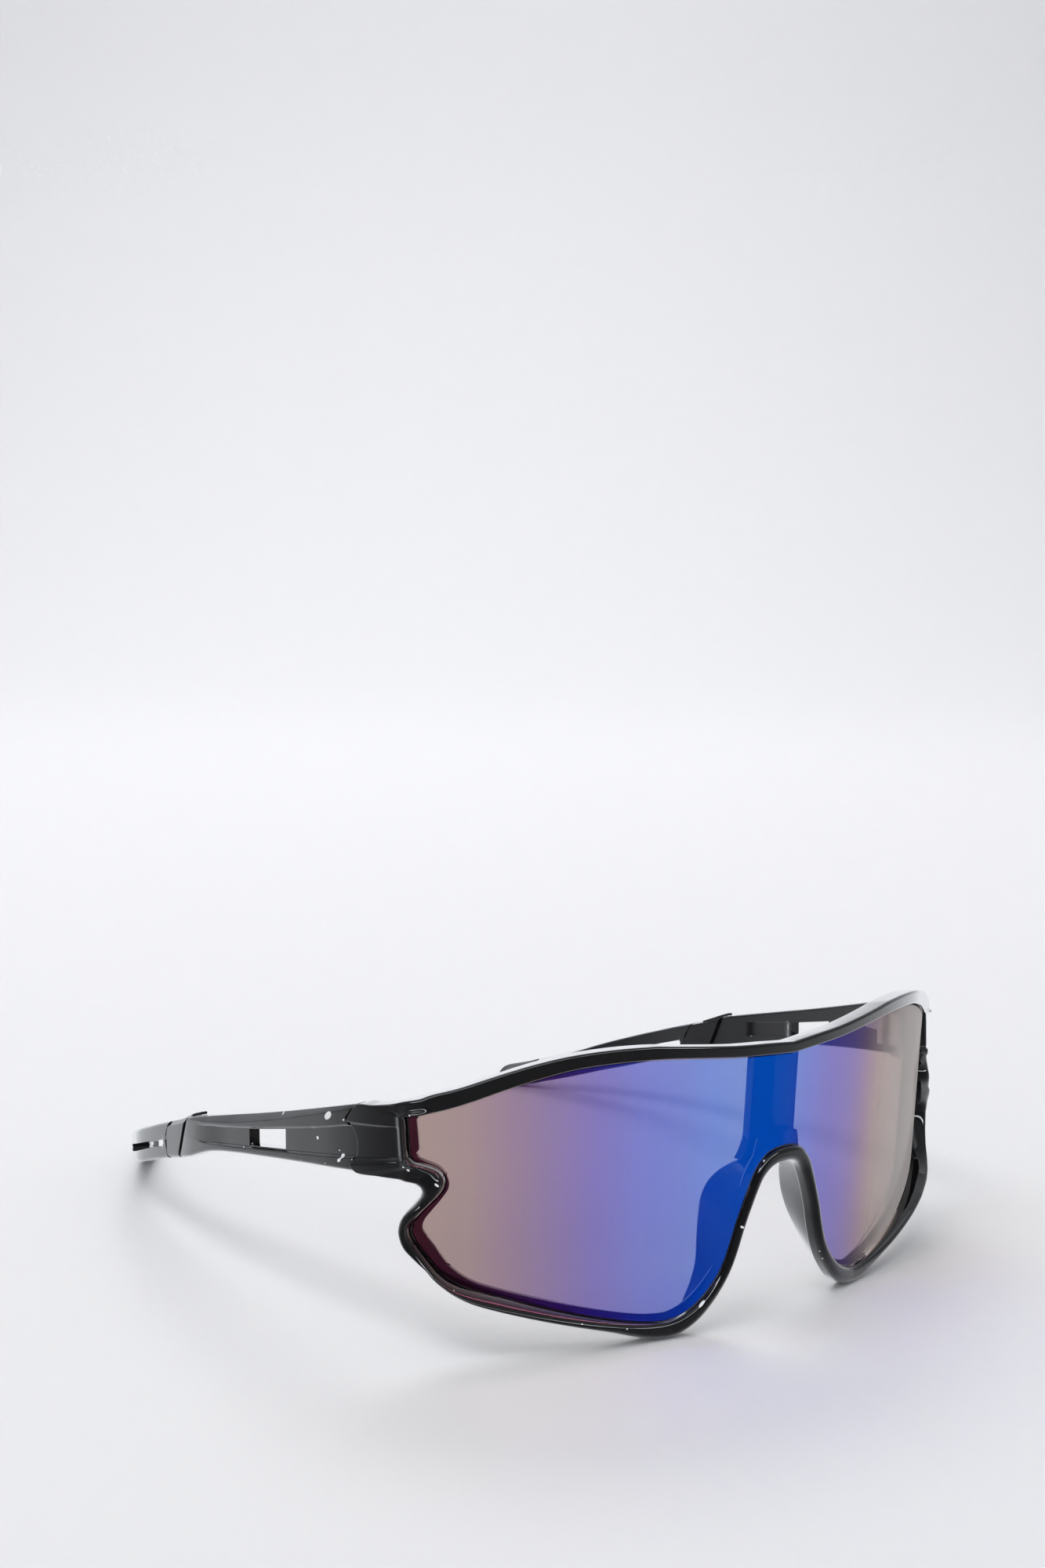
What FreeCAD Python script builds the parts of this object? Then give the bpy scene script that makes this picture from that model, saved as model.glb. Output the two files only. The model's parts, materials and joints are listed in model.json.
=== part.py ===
import FreeCAD, Part
import Sketcher
import math
import os

# Wraparound sport sunglasses: a front frame with a one-piece lens, and on each side
# a hinge and a temple made of an arm, a collar, an ear section, a tip and a steel core.
# +Z is up, the wearer looks along -Y, and +X is the wearer's left.  The origin is the
# middle of the footprint: x = 0 is the plane of symmetry, z = 0 the floor.
# "Back" is the distance in +Y from the lens front at its centre, at mid height.

Vector = FreeCAD.Vector
os.makedirs("parts", exist_ok=True)
doc = FreeCAD.newDocument("sport_sunglasses")

# ---------------------------------------------------------------- dimensions
DIMENSIONS = [
    ("front_offset", -76.7, "y of the lens front at its centre, at mid height"),
    ("mid_height", 25.0, "height at which the lens front passes front_offset"),
    ("lens_radius", 93.8, "radius of the cylindrical lens front"),
    ("lens_lean", 3.794, "degrees the top of the lens leans forward"),
    ("lens_thick", 1.8, "lens thickness"),
    ("lens_play", 0.10, "gap between the lens edge and its recess"),
    ("seat_play", 0.10, "gap between the lens back and its seat"),
    ("lip_proud", 1.4, "rim front stands this far in front of the lens"),
    ("rim_back", 3.4, "rim back lies this far behind the lens front"),
    ("ledge_width", 2.1, "width of the seat behind the lens edge"),
    ("bar_half", 6.3, "half width of the centre bar behind the lens"),
    ("brow_high", 1.6, "brow bar height above the lens edge"),
    ("sheet_height", 70.0, "half length of the construction cylinders"),
    ("pad_thick", 1.8, "nose flange thickness"),
    ("lug_depth", 3.6, "thickness of the hinge lug and the arm at the hinge"),
    ("arm_thick", 3.4, "thickness of the temple arm"),
    ("collar_thick", 4.2, "thickness of the collar"),
    ("ear_thick", 3.8, "thickness of the ear section"),
    ("tip_thick", 3.6, "thickness of the temple tip"),
    ("panel_depth", 0.7, "depth of the recessed panel outside"),
    ("inner_depth", 0.6, "depth of the recess on the inner face"),
    ("part_gap", 0.12, "half the gap at each split line"),
    ("core_thick", 1.0, "steel core strip, across the temple"),
    ("core_inset", 1.5, "steel core strip, depth below the outer face"),
    ("core_top", 1.35, "core strip top, below the temple's upper edge"),
    ("core_bottom", 2.85, "core strip underside, below the temple's upper edge"),
    ("core_play", 0.12, "gap around the core strip"),
    ("core_start", 86.0, "core strip front end, from the lens front"),
    ("core_end", 143.0, "core strip rear end, from the lens front"),
    ("hinge_out", 66.1, "x of the hinge axis"),
    ("hinge_back", 36.6, "hinge axis behind the lens front"),
    ("knuckle_radius", 1.5, "hinge knuckle radius"),
    ("knuckle_gap", 0.05, "axial gap between knuckles"),
    ("room_play", 0.3, "radial room around the knuckles"),
    ("room_below", 1.0, "room below the knuckles"),
    ("room_above", 2.0, "room above the knuckles"),
    ("pin_radius", 0.70, "hinge screw shank radius"),
    ("pin_play", 0.04, "radial play of the screw in the knuckles"),
    ("head_radius", 1.35, "hinge screw head radius"),
    ("head_high", 0.7, "hinge screw head height"),
    ("slot_wide", 0.4, "screw slot width"),
    ("slot_deep", 0.35, "screw slot depth"),
    ("leaf_low", 35.3, "underside of the lower knuckle"),
    ("leaf_high", 42.3, "top of the upper knuckle"),
    ("leaf_mid_low", 37.2, "underside of the middle knuckle"),
    ("leaf_mid_high", 40.4, "top of the middle knuckle"),
    ("leaf_thick", 0.9, "hinge leaf plate thickness"),
    ("front_leaf_in", 0.2, "front leaf plate, inward of the hinge axis"),
    ("front_leaf_extra", 0.4, "front leaf plate, outward beyond leaf_thick"),
    ("front_leaf_reach", 5.8, "front leaf plate, forward of the hinge axis"),
    ("mid_room_front", 0.25, "clearance in front of the middle knuckle"),
    ("mid_room_reach", 3.0, "side and rear reach of the middle knuckle clearance"),
    ("temple_leaf_out", 2.6, "temple leaf outer face, outward of the hinge axis"),
    ("temple_leaf_front", 0.2, "temple leaf front, behind the hinge axis"),
    ("temple_leaf_back", 7.2, "temple leaf rear, behind the hinge axis"),
    ("web_in", 0.3, "temple web inner end, outward of the hinge axis"),
    ("web_back", 1.7, "temple web rear, behind the hinge axis"),
    ("pocket_play", 0.06, "gap around a leaf plate in its pocket"),
    ("pocket_end_play", 0.08, "gap in front of the front leaf plate"),
    ("pocket_rear", 0.6, "front leaf pocket rear, behind the hinge axis"),
    ("pocket_high_play", 0.05, "gap above and below a leaf in its pocket"),
    ("cut_over", 1.0, "overrun of the cuts in the hinge parts"),
]
sheet = doc.addObject("Spreadsheet::Sheet", "dims")
for row, (alias, value, note) in enumerate(DIMENSIONS, 1):
    sheet.set("A%d" % row, alias)
    sheet.set("B%d" % row, str(value))
    sheet.set("C%d" % row, note)
    sheet.setAlias("B%d" % row, alias)
doc.recompute()


def dim(alias):
    return float(getattr(sheet, alias))


SIGN = {"left": 1, "right": -1}     # sign of x on each side
FRONT_Y = dim("front_offset")
OUTLINE_Y = FRONT_Y - 12.0          # plane of the front-view profiles
OUTLINE_LENGTH = 60.0               # how far they are extruded backward
BAND_LOW, BAND_HIGH = -2.0, 60.0    # z range of the plan-view extrusions
PLATE_IN, PLATE_OUT = 40.0, 85.0    # |x| range of the side-view extrusions


# ---------------------------------------------------------- document objects
def bind(obj, **pairs):
    """Bind properties to expressions; a double underscore stands for a dot."""
    for prop, expression in pairs.items():
        obj.setExpression(prop.replace("__", "."), expression)
    return obj


def feature(name, shape):
    obj = doc.addObject("Part::Feature", name)
    obj.Shape = shape
    return obj


def cut(name, base, tool):
    obj = doc.addObject("Part::Cut", name)
    obj.Base = base
    obj.Tool = tool
    return obj


def fuse(name, *shapes):
    obj = doc.addObject("Part::MultiFuse", name)
    obj.Shapes = list(shapes)
    return obj


def common(name, *shapes):
    obj = doc.addObject("Part::MultiCommon", name)
    obj.Shapes = list(shapes)
    return obj


def wire_of(runs):
    """Closed wire: each run of points is a spline, or a line if it has two points.

    Lines join the end of each run to the start of the next where they lie apart.
    """
    edges = []
    for i, run in enumerate(runs):
        points = [Vector(*point) for point in run]
        if len(points) == 2:
            edges.append(Part.makeLine(*points))
        else:
            curve = Part.BSplineCurve()
            curve.interpolate(points)
            edges.append(curve.toShape())
        following = Vector(*runs[(i + 1) % len(runs)][0])
        if (points[-1] - following).Length > 1e-6:
            edges.append(Part.makeLine(points[-1], following))
    return Part.Wire(Part.__sortEdges__(edges))


def extrusion(name, runs, direction, length):
    extruded = doc.addObject("Part::Extrusion", name)
    extruded.Base = feature(name + "_profile", Part.Face(wire_of(runs)))
    extruded.DirMode = "Custom"
    extruded.Dir = Vector(*direction)
    extruded.LengthFwd = length
    extruded.Solid = True
    return extruded


def front_block(name, runs):
    """Front-view runs of (x, z), extruded backward."""
    placed = [[(x, OUTLINE_Y, z) for x, z in run] for run in runs]
    return extrusion(name, placed, (0, 1, 0), OUTLINE_LENGTH)


def lens_cylinder(name, radius):
    """Cylinder whose axis leans with the lens, concentric with the lens front."""
    cylinder = doc.addObject("Part::Cylinder", name)
    lean = FreeCAD.Rotation(Vector(1, 0, 0), dim("lens_lean"))
    cylinder.Placement = FreeCAD.Placement(Vector(0, 0, 0), lean)
    return bind(
        cylinder,
        Radius=radius,
        Height="2 * dims.sheet_height",
        Placement__Base__y="dims.front_offset + dims.lens_radius"
                           " + dims.sheet_height * sin(dims.lens_lean)",
        Placement__Base__z="dims.mid_height - dims.sheet_height * cos(dims.lens_lean)",
    )


# ------------------------------------------------------------------ outlines
# Right half of each outline seen from the front, as (|x|, z) from the middle of the
# top, round the side, to the middle of the bottom.  Straight lines join the runs.
LENS_TOP = [
    (0, 51.2), (5.7, 51.6), (12.8, 52.05), (18.6, 52.6), (25.6, 53.2), (29.9, 53.35),
    (36.7, 53.2), (43.1, 52.4), (47.9, 51.05), (51.4, 49.8), (54.7, 48.35), (57.9, 46.85),
    (61.1, 45.5), (63.6, 44.6), (65.6, 44.0)]
LENS_LOW = [
    (65.1, 35.9), (64.5, 35.3), (63.4, 34.85), (62.5, 34.4), (61.8, 33.9), (61.3, 33.25),
    (61.05, 32.5), (61.0, 31.8), (61.15, 31.0), (61.5, 30.2), (62.15, 29.2), (63.0, 28.0),
    (63.95, 26.5), (64.7, 25.3), (65.15, 24.3), (65.3, 23.2), (65.2, 22.1), (64.75, 20.9),
    (64.0, 19.6), (63.1, 18.1), (62.2, 16.6), (61.2, 15.15), (60.0, 13.85), (58.3, 12.65),
    (56.0, 11.6), (51.5, 10.05), (46.2, 8.3), (40.7, 6.6), (34.8, 5.0), (30.2, 3.95),
    (26.2, 3.4), (23.2, 3.45), (20.9, 4.15), (18.9, 5.2), (17.1, 6.6), (14.9, 9.0),
    (12.95, 12.1), (11.5, 16.1), (10.4, 19.9), (9.2, 23.3), (8.0, 26.5), (6.7, 29.4),
    (5.3, 31.5), (3.6, 32.8), (1.8, 33.25), (0, 33.35)]
FRAME_TOP = [(x, z + dim("brow_high")) for x, z in LENS_TOP[:-2]] + [(64.9, 46.5), (66.8, 46.1)]
FRAME_LOW = [
    (66.8, 32.3), (65.7, 32.15), (64.95, 31.85), (64.35, 31.35), (64.05, 30.7), (64.05, 30.0),
    (64.5, 28.9), (65.25, 27.5), (66.0, 26.0), (66.55, 24.5), (66.75, 23.1), (66.65, 21.7),
    (66.2, 20.3), (65.4, 18.75), (64.4, 17.1), (63.3, 15.6), (62.2, 14.25), (60.7, 12.7),
    (58.8, 11.15), (56.4, 9.8), (53.9, 8.75), (48.8, 7.05), (43.4, 5.45), (37.7, 3.75),
    (31.6, 1.85), (28.6, 0.75), (26.2, 0.0)]
FRAME_NOSE = [
    (22.8, 0.0), (20.4, 0.8), (17.8, 2.4), (15.4, 4.7), (13.1, 7.7), (11.15, 11.4),
    (9.7, 15.4), (8.6, 19.2), (7.4, 22.6), (6.1, 25.7), (4.8, 28.0), (3.3, 29.6),
    (1.7, 30.3), (0, 30.45)]


def mirrored(points):
    return [(-x, z) for x, z in reversed(points)]


def offset_run(points, distance):
    """Offset an open run of (x, z) to the left of its direction."""
    moved = []
    for i, (x, z) in enumerate(points):
        before = points[max(i - 1, 0)]
        after = points[min(i + 1, len(points) - 1)]
        along_x, along_z = after[0] - before[0], after[1] - before[1]
        length = math.hypot(along_x, along_z)
        moved.append((x - along_z / length * distance, z + along_x / length * distance))
    return moved


def segment_distance(point, start, end):
    along_x, along_z = end[0] - start[0], end[1] - start[1]
    away_x, away_z = point[0] - start[0], point[1] - start[1]
    share = (away_x * along_x + away_z * along_z) / (along_x * along_x + along_z * along_z)
    share = max(0.0, min(1.0, share))
    return math.hypot(away_x - share * along_x, away_z - share * along_z)


def keep_clear(points, reference, distance):
    """Drop offset points that came too close to the reference run."""
    segments = list(zip(reference, reference[1:]))
    return [point for point in points
            if min(segment_distance(point, *ends) for ends in segments) > distance * 0.985]


def closed_outline(half):
    """Full closed outline from the runs of its right half."""
    middle = half[1:-1]
    return ([mirrored(half[0][1:]) + half[0]] + middle + [half[-1] + mirrored(half[-1][:-1])]
            + [mirrored(run) for run in reversed(middle)])


# ------------------------------------------------------------- rim and lens
def rim_shell():
    block = front_block("rim_block", closed_outline([FRAME_TOP, FRAME_LOW, FRAME_NOSE]))
    skin_front = lens_cylinder("skin_front", "dims.lens_radius + dims.lip_proud")
    skin_back = lens_cylinder("skin_back", "dims.lens_radius - dims.rim_back")
    return cut("rim_shell", common("rim_outer", block, skin_front), skin_back)


def lens_recess():
    """Recess that takes the lens: open to the front, floored by the seat."""
    block = front_block("recess_block", closed_outline([LENS_TOP, LENS_LOW]))
    seat = lens_cylinder("seat_skin", "dims.lens_radius - dims.lens_thick - dims.seat_play")
    return cut("lens_recess", block, seat)


def opening_runs():
    """Upper and lower run, (|x|, z), of one of the two openings behind the lens."""
    ledge = dim("ledge_width")
    bar = dim("bar_half")
    edge = LENS_TOP + LENS_LOW
    inner = keep_clear(offset_run(edge, -ledge), edge, ledge)
    inner = [point for point in inner if point[0] > bar + 0.4]
    upper = [(x, z) for x, z in inner if z > 43.0 and x < 64.0]
    lower = [point for point in inner if point not in upper]
    # the corner beside the centre bar gets points of its own
    lower = [(x, z) for x, z in lower if not (x < 12 and z > 32.6)]
    upper_start = (bar, upper[0][1] - 0.15)
    return [[upper_start] + upper, lower + [(7.3, 33.6), (bar, 35.3)]]


def rim_with_openings():
    shell = rim_shell()
    openings = [
        front_block("opening_" + side, [[(sign * x, z) for x, z in run] for run in opening_runs()])
        for side, sign in SIGN.items()]
    return cut("rim_open", shell, fuse("openings", *openings))


def shield_lens():
    """Lens, with its edge drawn in from the recess all round."""
    edge = offset_run(LENS_TOP + LENS_LOW, -dim("lens_play"))
    corner = len(LENS_TOP)
    block = front_block("lens_block", closed_outline([edge[:corner], edge[corner:]]))
    front_skin = lens_cylinder("lens_front", "dims.lens_radius")
    back_skin = lens_cylinder("lens_back", "dims.lens_radius - dims.lens_thick")
    lens = cut("lens_shell", common("lens_outer", block, front_skin), back_skin)
    lens.Label = "shield_lens"
    return lens


# ------------------------------------------------------------- temple curves
# Outer face of lug and temple in plan: (back, |x|).
PLAN = [
    (22.0, 64.2), (24.0, 65.6), (26.0, 66.9), (28.5, 68.35), (31.0, 69.6), (33.5, 70.55),
    (35.5, 71.15), (40.0, 71.95), (50.0, 72.8), (60.0, 73.35), (70.0, 73.85), (80.0, 74.3),
    (88.0, 74.45), (93.0, 74.3), (98.0, 73.75), (104.0, 72.95), (110.0, 72.2), (116.0, 71.35),
    (123.0, 70.0), (130.0, 67.75), (137.0, 64.6), (144.0, 60.6), (150.0, 56.7), (156.0, 52.4),
    (160.0, 49.4)]
# Upper and lower edge in side view, from the lug to the tip: (back, z).
UPPER = [
    (22.0, 46.4), (26.0, 46.2), (30.0, 45.75), (34.8, 44.95), (41.5, 43.2), (49.0, 41.1),
    (57.1, 38.85), (65.7, 36.55), (74.3, 34.35), (84.6, 31.75), (93.0, 29.55), (98.5, 27.65),
    (104.0, 25.85), (109.5, 24.1), (115.0, 22.2), (120.0, 20.5), (125.0, 18.75), (130.0, 16.95),
    (134.3, 15.25), (139.0, 13.25), (143.0, 11.65), (149.0, 9.5), (153.5, 7.95), (156.0, 7.0)]
LOWER = [
    (22.0, 32.2), (26.0, 32.3), (30.0, 32.5), (35.2, 32.45), (41.7, 31.7), (49.2, 30.7),
    (57.3, 29.5), (65.9, 28.15), (74.5, 26.75), (80.7, 25.55), (84.8, 24.5), (89.0, 23.0),
    (93.3, 21.3), (97.0, 20.2), (101.0, 19.1), (106.0, 17.95), (111.0, 16.65), (116.0, 15.1),
    (121.0, 13.25), (126.6, 10.95), (132.0, 8.55), (137.0, 6.4), (142.0, 4.3), (147.0, 2.2),
    (150.0, 0.85), (152.0, 0.05)]
# Split lines in side view, (back, z), from the upper edge to the lower edge.
HINGE_SPLIT = [
    (35.3, 44.9), (36.6, 43.5), (37.6, 42.3), (37.9, 41.3), (36.6, 40.6), (35.5, 38.9),
    (35.3, 37.0), (35.6, 35.2), (36.8, 33.6), (36.2, 32.9), (35.2, 32.4)]
COLLAR_FRONT = [(92.9, 29.5), (96.9, 20.2)]
COLLAR_REAR = [(103.4, 26.05), (105.0, 18.2)]
TIP_SPLIT = [(148.4, 9.7), (147.4, 2.0)]
GAP = dim("part_gap")
# Thickness of the temple: (back, thickness), straight between the entries.
THICKNESS = [
    (34.0, dim("lug_depth")), (40.0, dim("arm_thick")), (80.0, dim("arm_thick")),
    (92.0, dim("collar_thick")), (105.0, dim("collar_thick")), (112.0, dim("ear_thick")),
    (140.0, dim("ear_thick")), (160.0, dim("tip_thick"))]


def curve_value(table, back):
    """Smooth (Catmull-Rom) value of a table."""
    for i in range(len(table) - 1):
        if back <= table[i + 1][0] or i == len(table) - 2:
            break
    before, start = table[max(i - 1, 0)], table[i]
    end, after = table[i + 1], table[min(i + 2, len(table) - 1)]
    span = end[0] - start[0]
    k = (back - start[0]) / span
    start_slope = (end[1] - before[1]) / (end[0] - before[0]) * span
    end_slope = (after[1] - start[1]) / (after[0] - start[0]) * span
    return ((2 * k ** 3 - 3 * k ** 2 + 1) * start[1] + (k ** 3 - 2 * k ** 2 + k) * start_slope
            + (-2 * k ** 3 + 3 * k ** 2) * end[1] + (k ** 3 - k ** 2) * end_slope)


def thick_at(back):
    for (start, thick), (end, next_thick) in zip(THICKNESS, THICKNESS[1:]):
        if back <= end:
            share = max(0.0, (back - start) / (end - start))
            return thick + (next_thick - thick) * share
    return THICKNESS[-1][1]


def spaced(start, end, step, least):
    """Even stations from start to end, in at least the given number of steps."""
    count = max(least, int(round(abs(end - start) / step)))
    return [start + (end - start) * i / count for i in range(count + 1)]


def run_between(table, start, end):
    return [(back, curve_value(table, back)) for back in spaced(start, end, 4.0, 2)]


def split_run(line, shift):
    """Split line moved backward by shift, its ends kept on the two edges."""
    run = [(back + shift, z) for back, z in line]
    run[0] = (run[0][0], curve_value(UPPER, run[0][0]))
    run[-1] = (run[-1][0], curve_value(LOWER, run[-1][0]))
    return run


def plan_offset(back, depth):
    """Plan point (|x|, back) at a depth inside the outer face, measured square to it."""
    slope = curve_value(PLAN, back + 0.5) - curve_value(PLAN, back - 0.5)
    length = math.hypot(1.0, slope)
    return (curve_value(PLAN, back) - depth / length, back + depth * slope / length)


def plan_band(side, name, stations, outer, inner):
    """Upright band along the plan curve.

    Outer and inner are depths inside the outer face: numbers, or functions of back.
    """
    def plan_run(depth, along):
        points = [plan_offset(back, depth(back) if callable(depth) else depth)
                  for back in along]
        return [(SIGN[side] * x, back + FRONT_Y, BAND_LOW) for x, back in points]

    runs = [plan_run(outer, stations), plan_run(inner, stations[::-1])]
    return extrusion(side + name, runs, (0, 0, 1), BAND_HIGH - BAND_LOW)


def side_plate(side, name, runs):
    """Side-view runs of (back, z), extruded across the temple."""
    sign = SIGN[side]
    placed = [[(sign * PLATE_IN, back + FRONT_Y, z) for back, z in run] for run in runs]
    return extrusion(side + name, placed, (sign, 0, 0), PLATE_OUT - PLATE_IN)


def plate_between(side, name, front_line, rear_line):
    """Side plate bounded by the temple's two edges and two lines across it."""
    return side_plate(side, name, [
        run_between(UPPER, front_line[0][0], rear_line[0][0]), rear_line,
        run_between(LOWER, rear_line[-1][0], front_line[-1][0]), front_line[::-1]])


# ------------------------------------------------------- lug and nose flange
PANEL_OUTSIDE = -3.0        # panel cutters start this depth, outside the outer face
# Recessed panel of the lug, upper and lower run: (back, z).
LUG_PANEL = [[(26.4, 41.7), (30.7, 41.6), (35.0, 40.9), (41.0, 39.6)],
             [(41.0, 34.2), (35.0, 35.2), (30.7, 35.8), (26.4, 36.1)]]


def lug_solid(side):
    band = plan_band(side, "_lug_band", spaced(22.6, 39.0, 2.0, 3), 0.0, dim("lug_depth"))
    plate = plate_between(side, "_lug_plate", [UPPER[0], LOWER[0]], split_run(HINGE_SPLIT, -GAP))
    body = common(side + "_lug_body", band, plate)
    # recessed panel that runs on into the temple arm
    panel_band = plan_band(side, "_lug_panel_band", spaced(25.6, 41.0, 2.0, 3),
                           PANEL_OUTSIDE, dim("panel_depth"))
    panel_plate = side_plate(side, "_lug_panel_plate", LUG_PANEL)
    return cut(side + "_lug", body, common(side + "_lug_panel", panel_band, panel_plate))


# Inner face of a nose flange, from top to bottom, as a front and a rear point:
# (|x|, distance behind the lens front, z).
FLANGE = [
    ((4.3, 1.6, 29.0), (5.2, 5.0, 28.4)), ((6.0, 1.6, 26.6), (7.7, 8.4, 26.0)),
    ((7.5, 1.6, 23.2), (9.7, 10.4, 23.0)), ((8.9, 1.6, 19.2), (11.4, 11.0, 19.3)),
    ((10.1, 1.6, 15.4), (13.3, 10.6, 15.6)), ((11.7, 1.6, 11.6), (15.3, 9.2, 11.8)),
    ((13.6, 1.6, 8.2), (16.9, 7.4, 8.2)), ((15.9, 1.6, 5.4), (18.1, 5.2, 5.2))]
# Flange thickness as shares of pad_thick.
FLANGE_FRONT, FLANGE_REAR, FLANGE_ENDS = 1.3, 0.8, 0.7


def lens_front_y(x, z):
    """y of the lens front, with its lean taken as a shift along y."""
    radius = dim("lens_radius")
    bow = radius - math.sqrt(max(radius * radius - x * x, 0.0))
    return FRONT_Y + bow - math.tan(math.radians(dim("lens_lean"))) * (z - dim("mid_height"))


def flange_solid(side):
    def place(point, outward):
        x, behind, z = point
        return Vector(SIGN[side] * (x + outward), lens_front_y(x, z) + behind, z)

    sections = []
    for number, (front, rear) in enumerate(FLANGE, 1):
        thick = dim("pad_thick")
        if number in (1, len(FLANGE)):
            thick *= FLANGE_ENDS
        corners = [place(front, 0), place(rear, 0),
                   place(rear, thick * FLANGE_REAR), place(front, thick * FLANGE_FRONT)]
        sections.append(feature("%s_flange_section_%d" % (side, number),
                                Part.makePolygon(corners + [corners[0]])))
    loft = doc.addObject("Part::Loft", side + "_flange")
    loft.Sections = sections
    loft.Solid = True
    loft.Ruled = False
    loft.MaxDegree = 3
    return loft


# ------------------------------------------------------------- hinge pieces
# Each hinge body has its origin on the hinge axis, at the underside of the lower knuckle.
LEAF_SPAN = "dims.leaf_high - dims.leaf_low"
MIDDLE_SPAN = "dims.leaf_mid_high - dims.leaf_mid_low"
MIDDLE_LIFT = "dims.leaf_mid_low - dims.leaf_low"
HEAD_LIFT = LEAF_SPAN + " + dims.knuckle_gap"


def across(side, inward, outward):
    """Low and high x expressions of a span measured outward from the hinge axis."""
    if SIGN[side] > 0:
        return inward, outward
    return "-(%s)" % outward, "-(%s)" % inward


def at_hinge(obj, side, x="0", y="0", z="dims.leaf_low"):
    """Bind the position: x and y from the hinge axis, z from the floor."""
    return bind(obj, Placement__Base__x="%d * dims.hinge_out + (%s)" % (SIGN[side], x),
                Placement__Base__y="dims.front_offset + dims.hinge_back + (%s)" % y,
                Placement__Base__z=z)


def draw_circle(sketch, radius):
    circle = sketch.addGeometry(Part.Circle(Vector(0, 0, 0), Vector(0, 0, 1), 1.0), False)
    sketch.addConstraint(Sketcher.Constraint("Coincident", circle, 3, -1, 1))
    size = sketch.addConstraint(Sketcher.Constraint("Radius", circle, 1.0))
    sketch.setExpression("Constraints[%d]" % size, radius)


def draw_rectangle(sketch, *sides):
    """Rectangle; its sides are low x, high x, low y, high y as expressions."""
    values = [sketch.evalExpression(side) for side in sides]
    x_low, x_high, y_low, y_high = [float(getattr(value, "Value", value)) for value in values]
    corners = [Vector(x_low, y_low, 0), Vector(x_high, y_low, 0),
               Vector(x_high, y_high, 0), Vector(x_low, y_high, 0)]
    for i in range(4):
        sketch.addGeometry(Part.LineSegment(corners[i], corners[(i + 1) % 4]), False)
    for i in range(4):
        sketch.addConstraint(Sketcher.Constraint("Coincident", i, 2, (i + 1) % 4, 1))
    for i, kind in enumerate(("Horizontal", "Vertical", "Horizontal", "Vertical")):
        sketch.addConstraint(Sketcher.Constraint(kind, i))
    # kind, edge, end of the edge, distance from the origin, expression
    distances = [("DistanceX", 0, 1, x_low, sides[0]), ("DistanceX", 0, 2, x_high, sides[1]),
                 ("DistanceY", 0, 1, y_low, sides[2]), ("DistanceY", 2, 1, y_high, sides[3])]
    for kind, edge, end, value, expression in distances:
        index = sketch.addConstraint(Sketcher.Constraint(kind, -1, 1, edge, end, value))
        sketch.setExpression("Constraints[%d]" % index, expression)


def add_step(body, kind, name, outline, length, lift=None):
    """Pad or Pocket going up from a sketch lifted above the body's XY plane.

    The outline is a radius, or the four sides of a rectangle.
    """
    sketch = body.newObject("Sketcher::SketchObject", name + "_sketch")
    ground = next(item for item in body.Origin.OriginFeatures if item.Role == "XY_Plane")
    sketch.AttachmentSupport = [(ground, "")]
    sketch.MapMode = "FlatFace"
    if lift:
        sketch.setExpression("AttachmentOffset.Base.z", lift)
    if isinstance(outline, str):
        draw_circle(sketch, outline)
    else:
        draw_rectangle(sketch, *outline)
    step = body.newObject("PartDesign::" + kind, name)
    step.Profile = sketch
    if kind == "Pocket":
        step.Reversed = True
    step.setExpression("Length", length)


def add_bore(body, name):
    add_step(body, "Pocket", name, "dims.pin_radius + dims.pin_play",
             LEAF_SPAN + " + 2 * dims.cut_over", "-dims.cut_over")


def hinge_screw(side):
    body = doc.addObject("PartDesign::Body", side + "_hinge_screw")
    add_step(body, "Pad", side + "_screw_shank", "dims.pin_radius", HEAD_LIFT)
    add_step(body, "Pad", side + "_screw_head", "dims.head_radius", "dims.head_high", HEAD_LIFT)
    slot = ("-dims.slot_wide / 2", "dims.slot_wide / 2",
            "-2 * dims.head_radius", "2 * dims.head_radius")
    add_step(body, "Pocket", side + "_screw_slot", slot, "dims.slot_deep + dims.cut_over",
             HEAD_LIFT + " + dims.head_high - dims.slot_deep")
    return at_hinge(body, side)


def front_leaf(side):
    """Two knuckles on a plate that sits in the lug."""
    body = doc.addObject("PartDesign::Body", side + "_hinge_front_leaf")
    add_step(body, "Pad", side + "_front_knuckles", "dims.knuckle_radius", LEAF_SPAN)
    plate = across(side, "-dims.front_leaf_in", "dims.leaf_thick + dims.front_leaf_extra")
    plate += ("-dims.front_leaf_reach", "0")
    add_step(body, "Pad", side + "_front_plate", plate, LEAF_SPAN)
    # clearance for the middle knuckle
    room = ("-dims.mid_room_reach", "dims.mid_room_reach",
            "-dims.knuckle_radius - dims.mid_room_front", "dims.mid_room_reach")
    add_step(body, "Pocket", side + "_front_gap", room, MIDDLE_SPAN + " + 2 * dims.knuckle_gap",
             MIDDLE_LIFT + " - dims.knuckle_gap")
    add_bore(body, side + "_front_bore")
    return at_hinge(body, side)


def temple_leaf(side):
    """The middle knuckle on a plate that sits in the temple arm."""
    body = doc.addObject("PartDesign::Body", side + "_hinge_temple_leaf")
    web = across(side, "dims.web_in", "dims.temple_leaf_out")
    web += ("dims.temple_leaf_front", "dims.web_back")
    plate = across(side, "dims.temple_leaf_out - dims.leaf_thick", "dims.temple_leaf_out")
    plate += ("dims.temple_leaf_front", "dims.temple_leaf_back")
    for name, outline in (("knuckle", "dims.knuckle_radius"), ("web", web), ("plate", plate)):
        add_step(body, "Pad", side + "_temple_" + name, outline, MIDDLE_SPAN, MIDDLE_LIFT)
    add_bore(body, side + "_temple_bore")
    return at_hinge(body, side)


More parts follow.
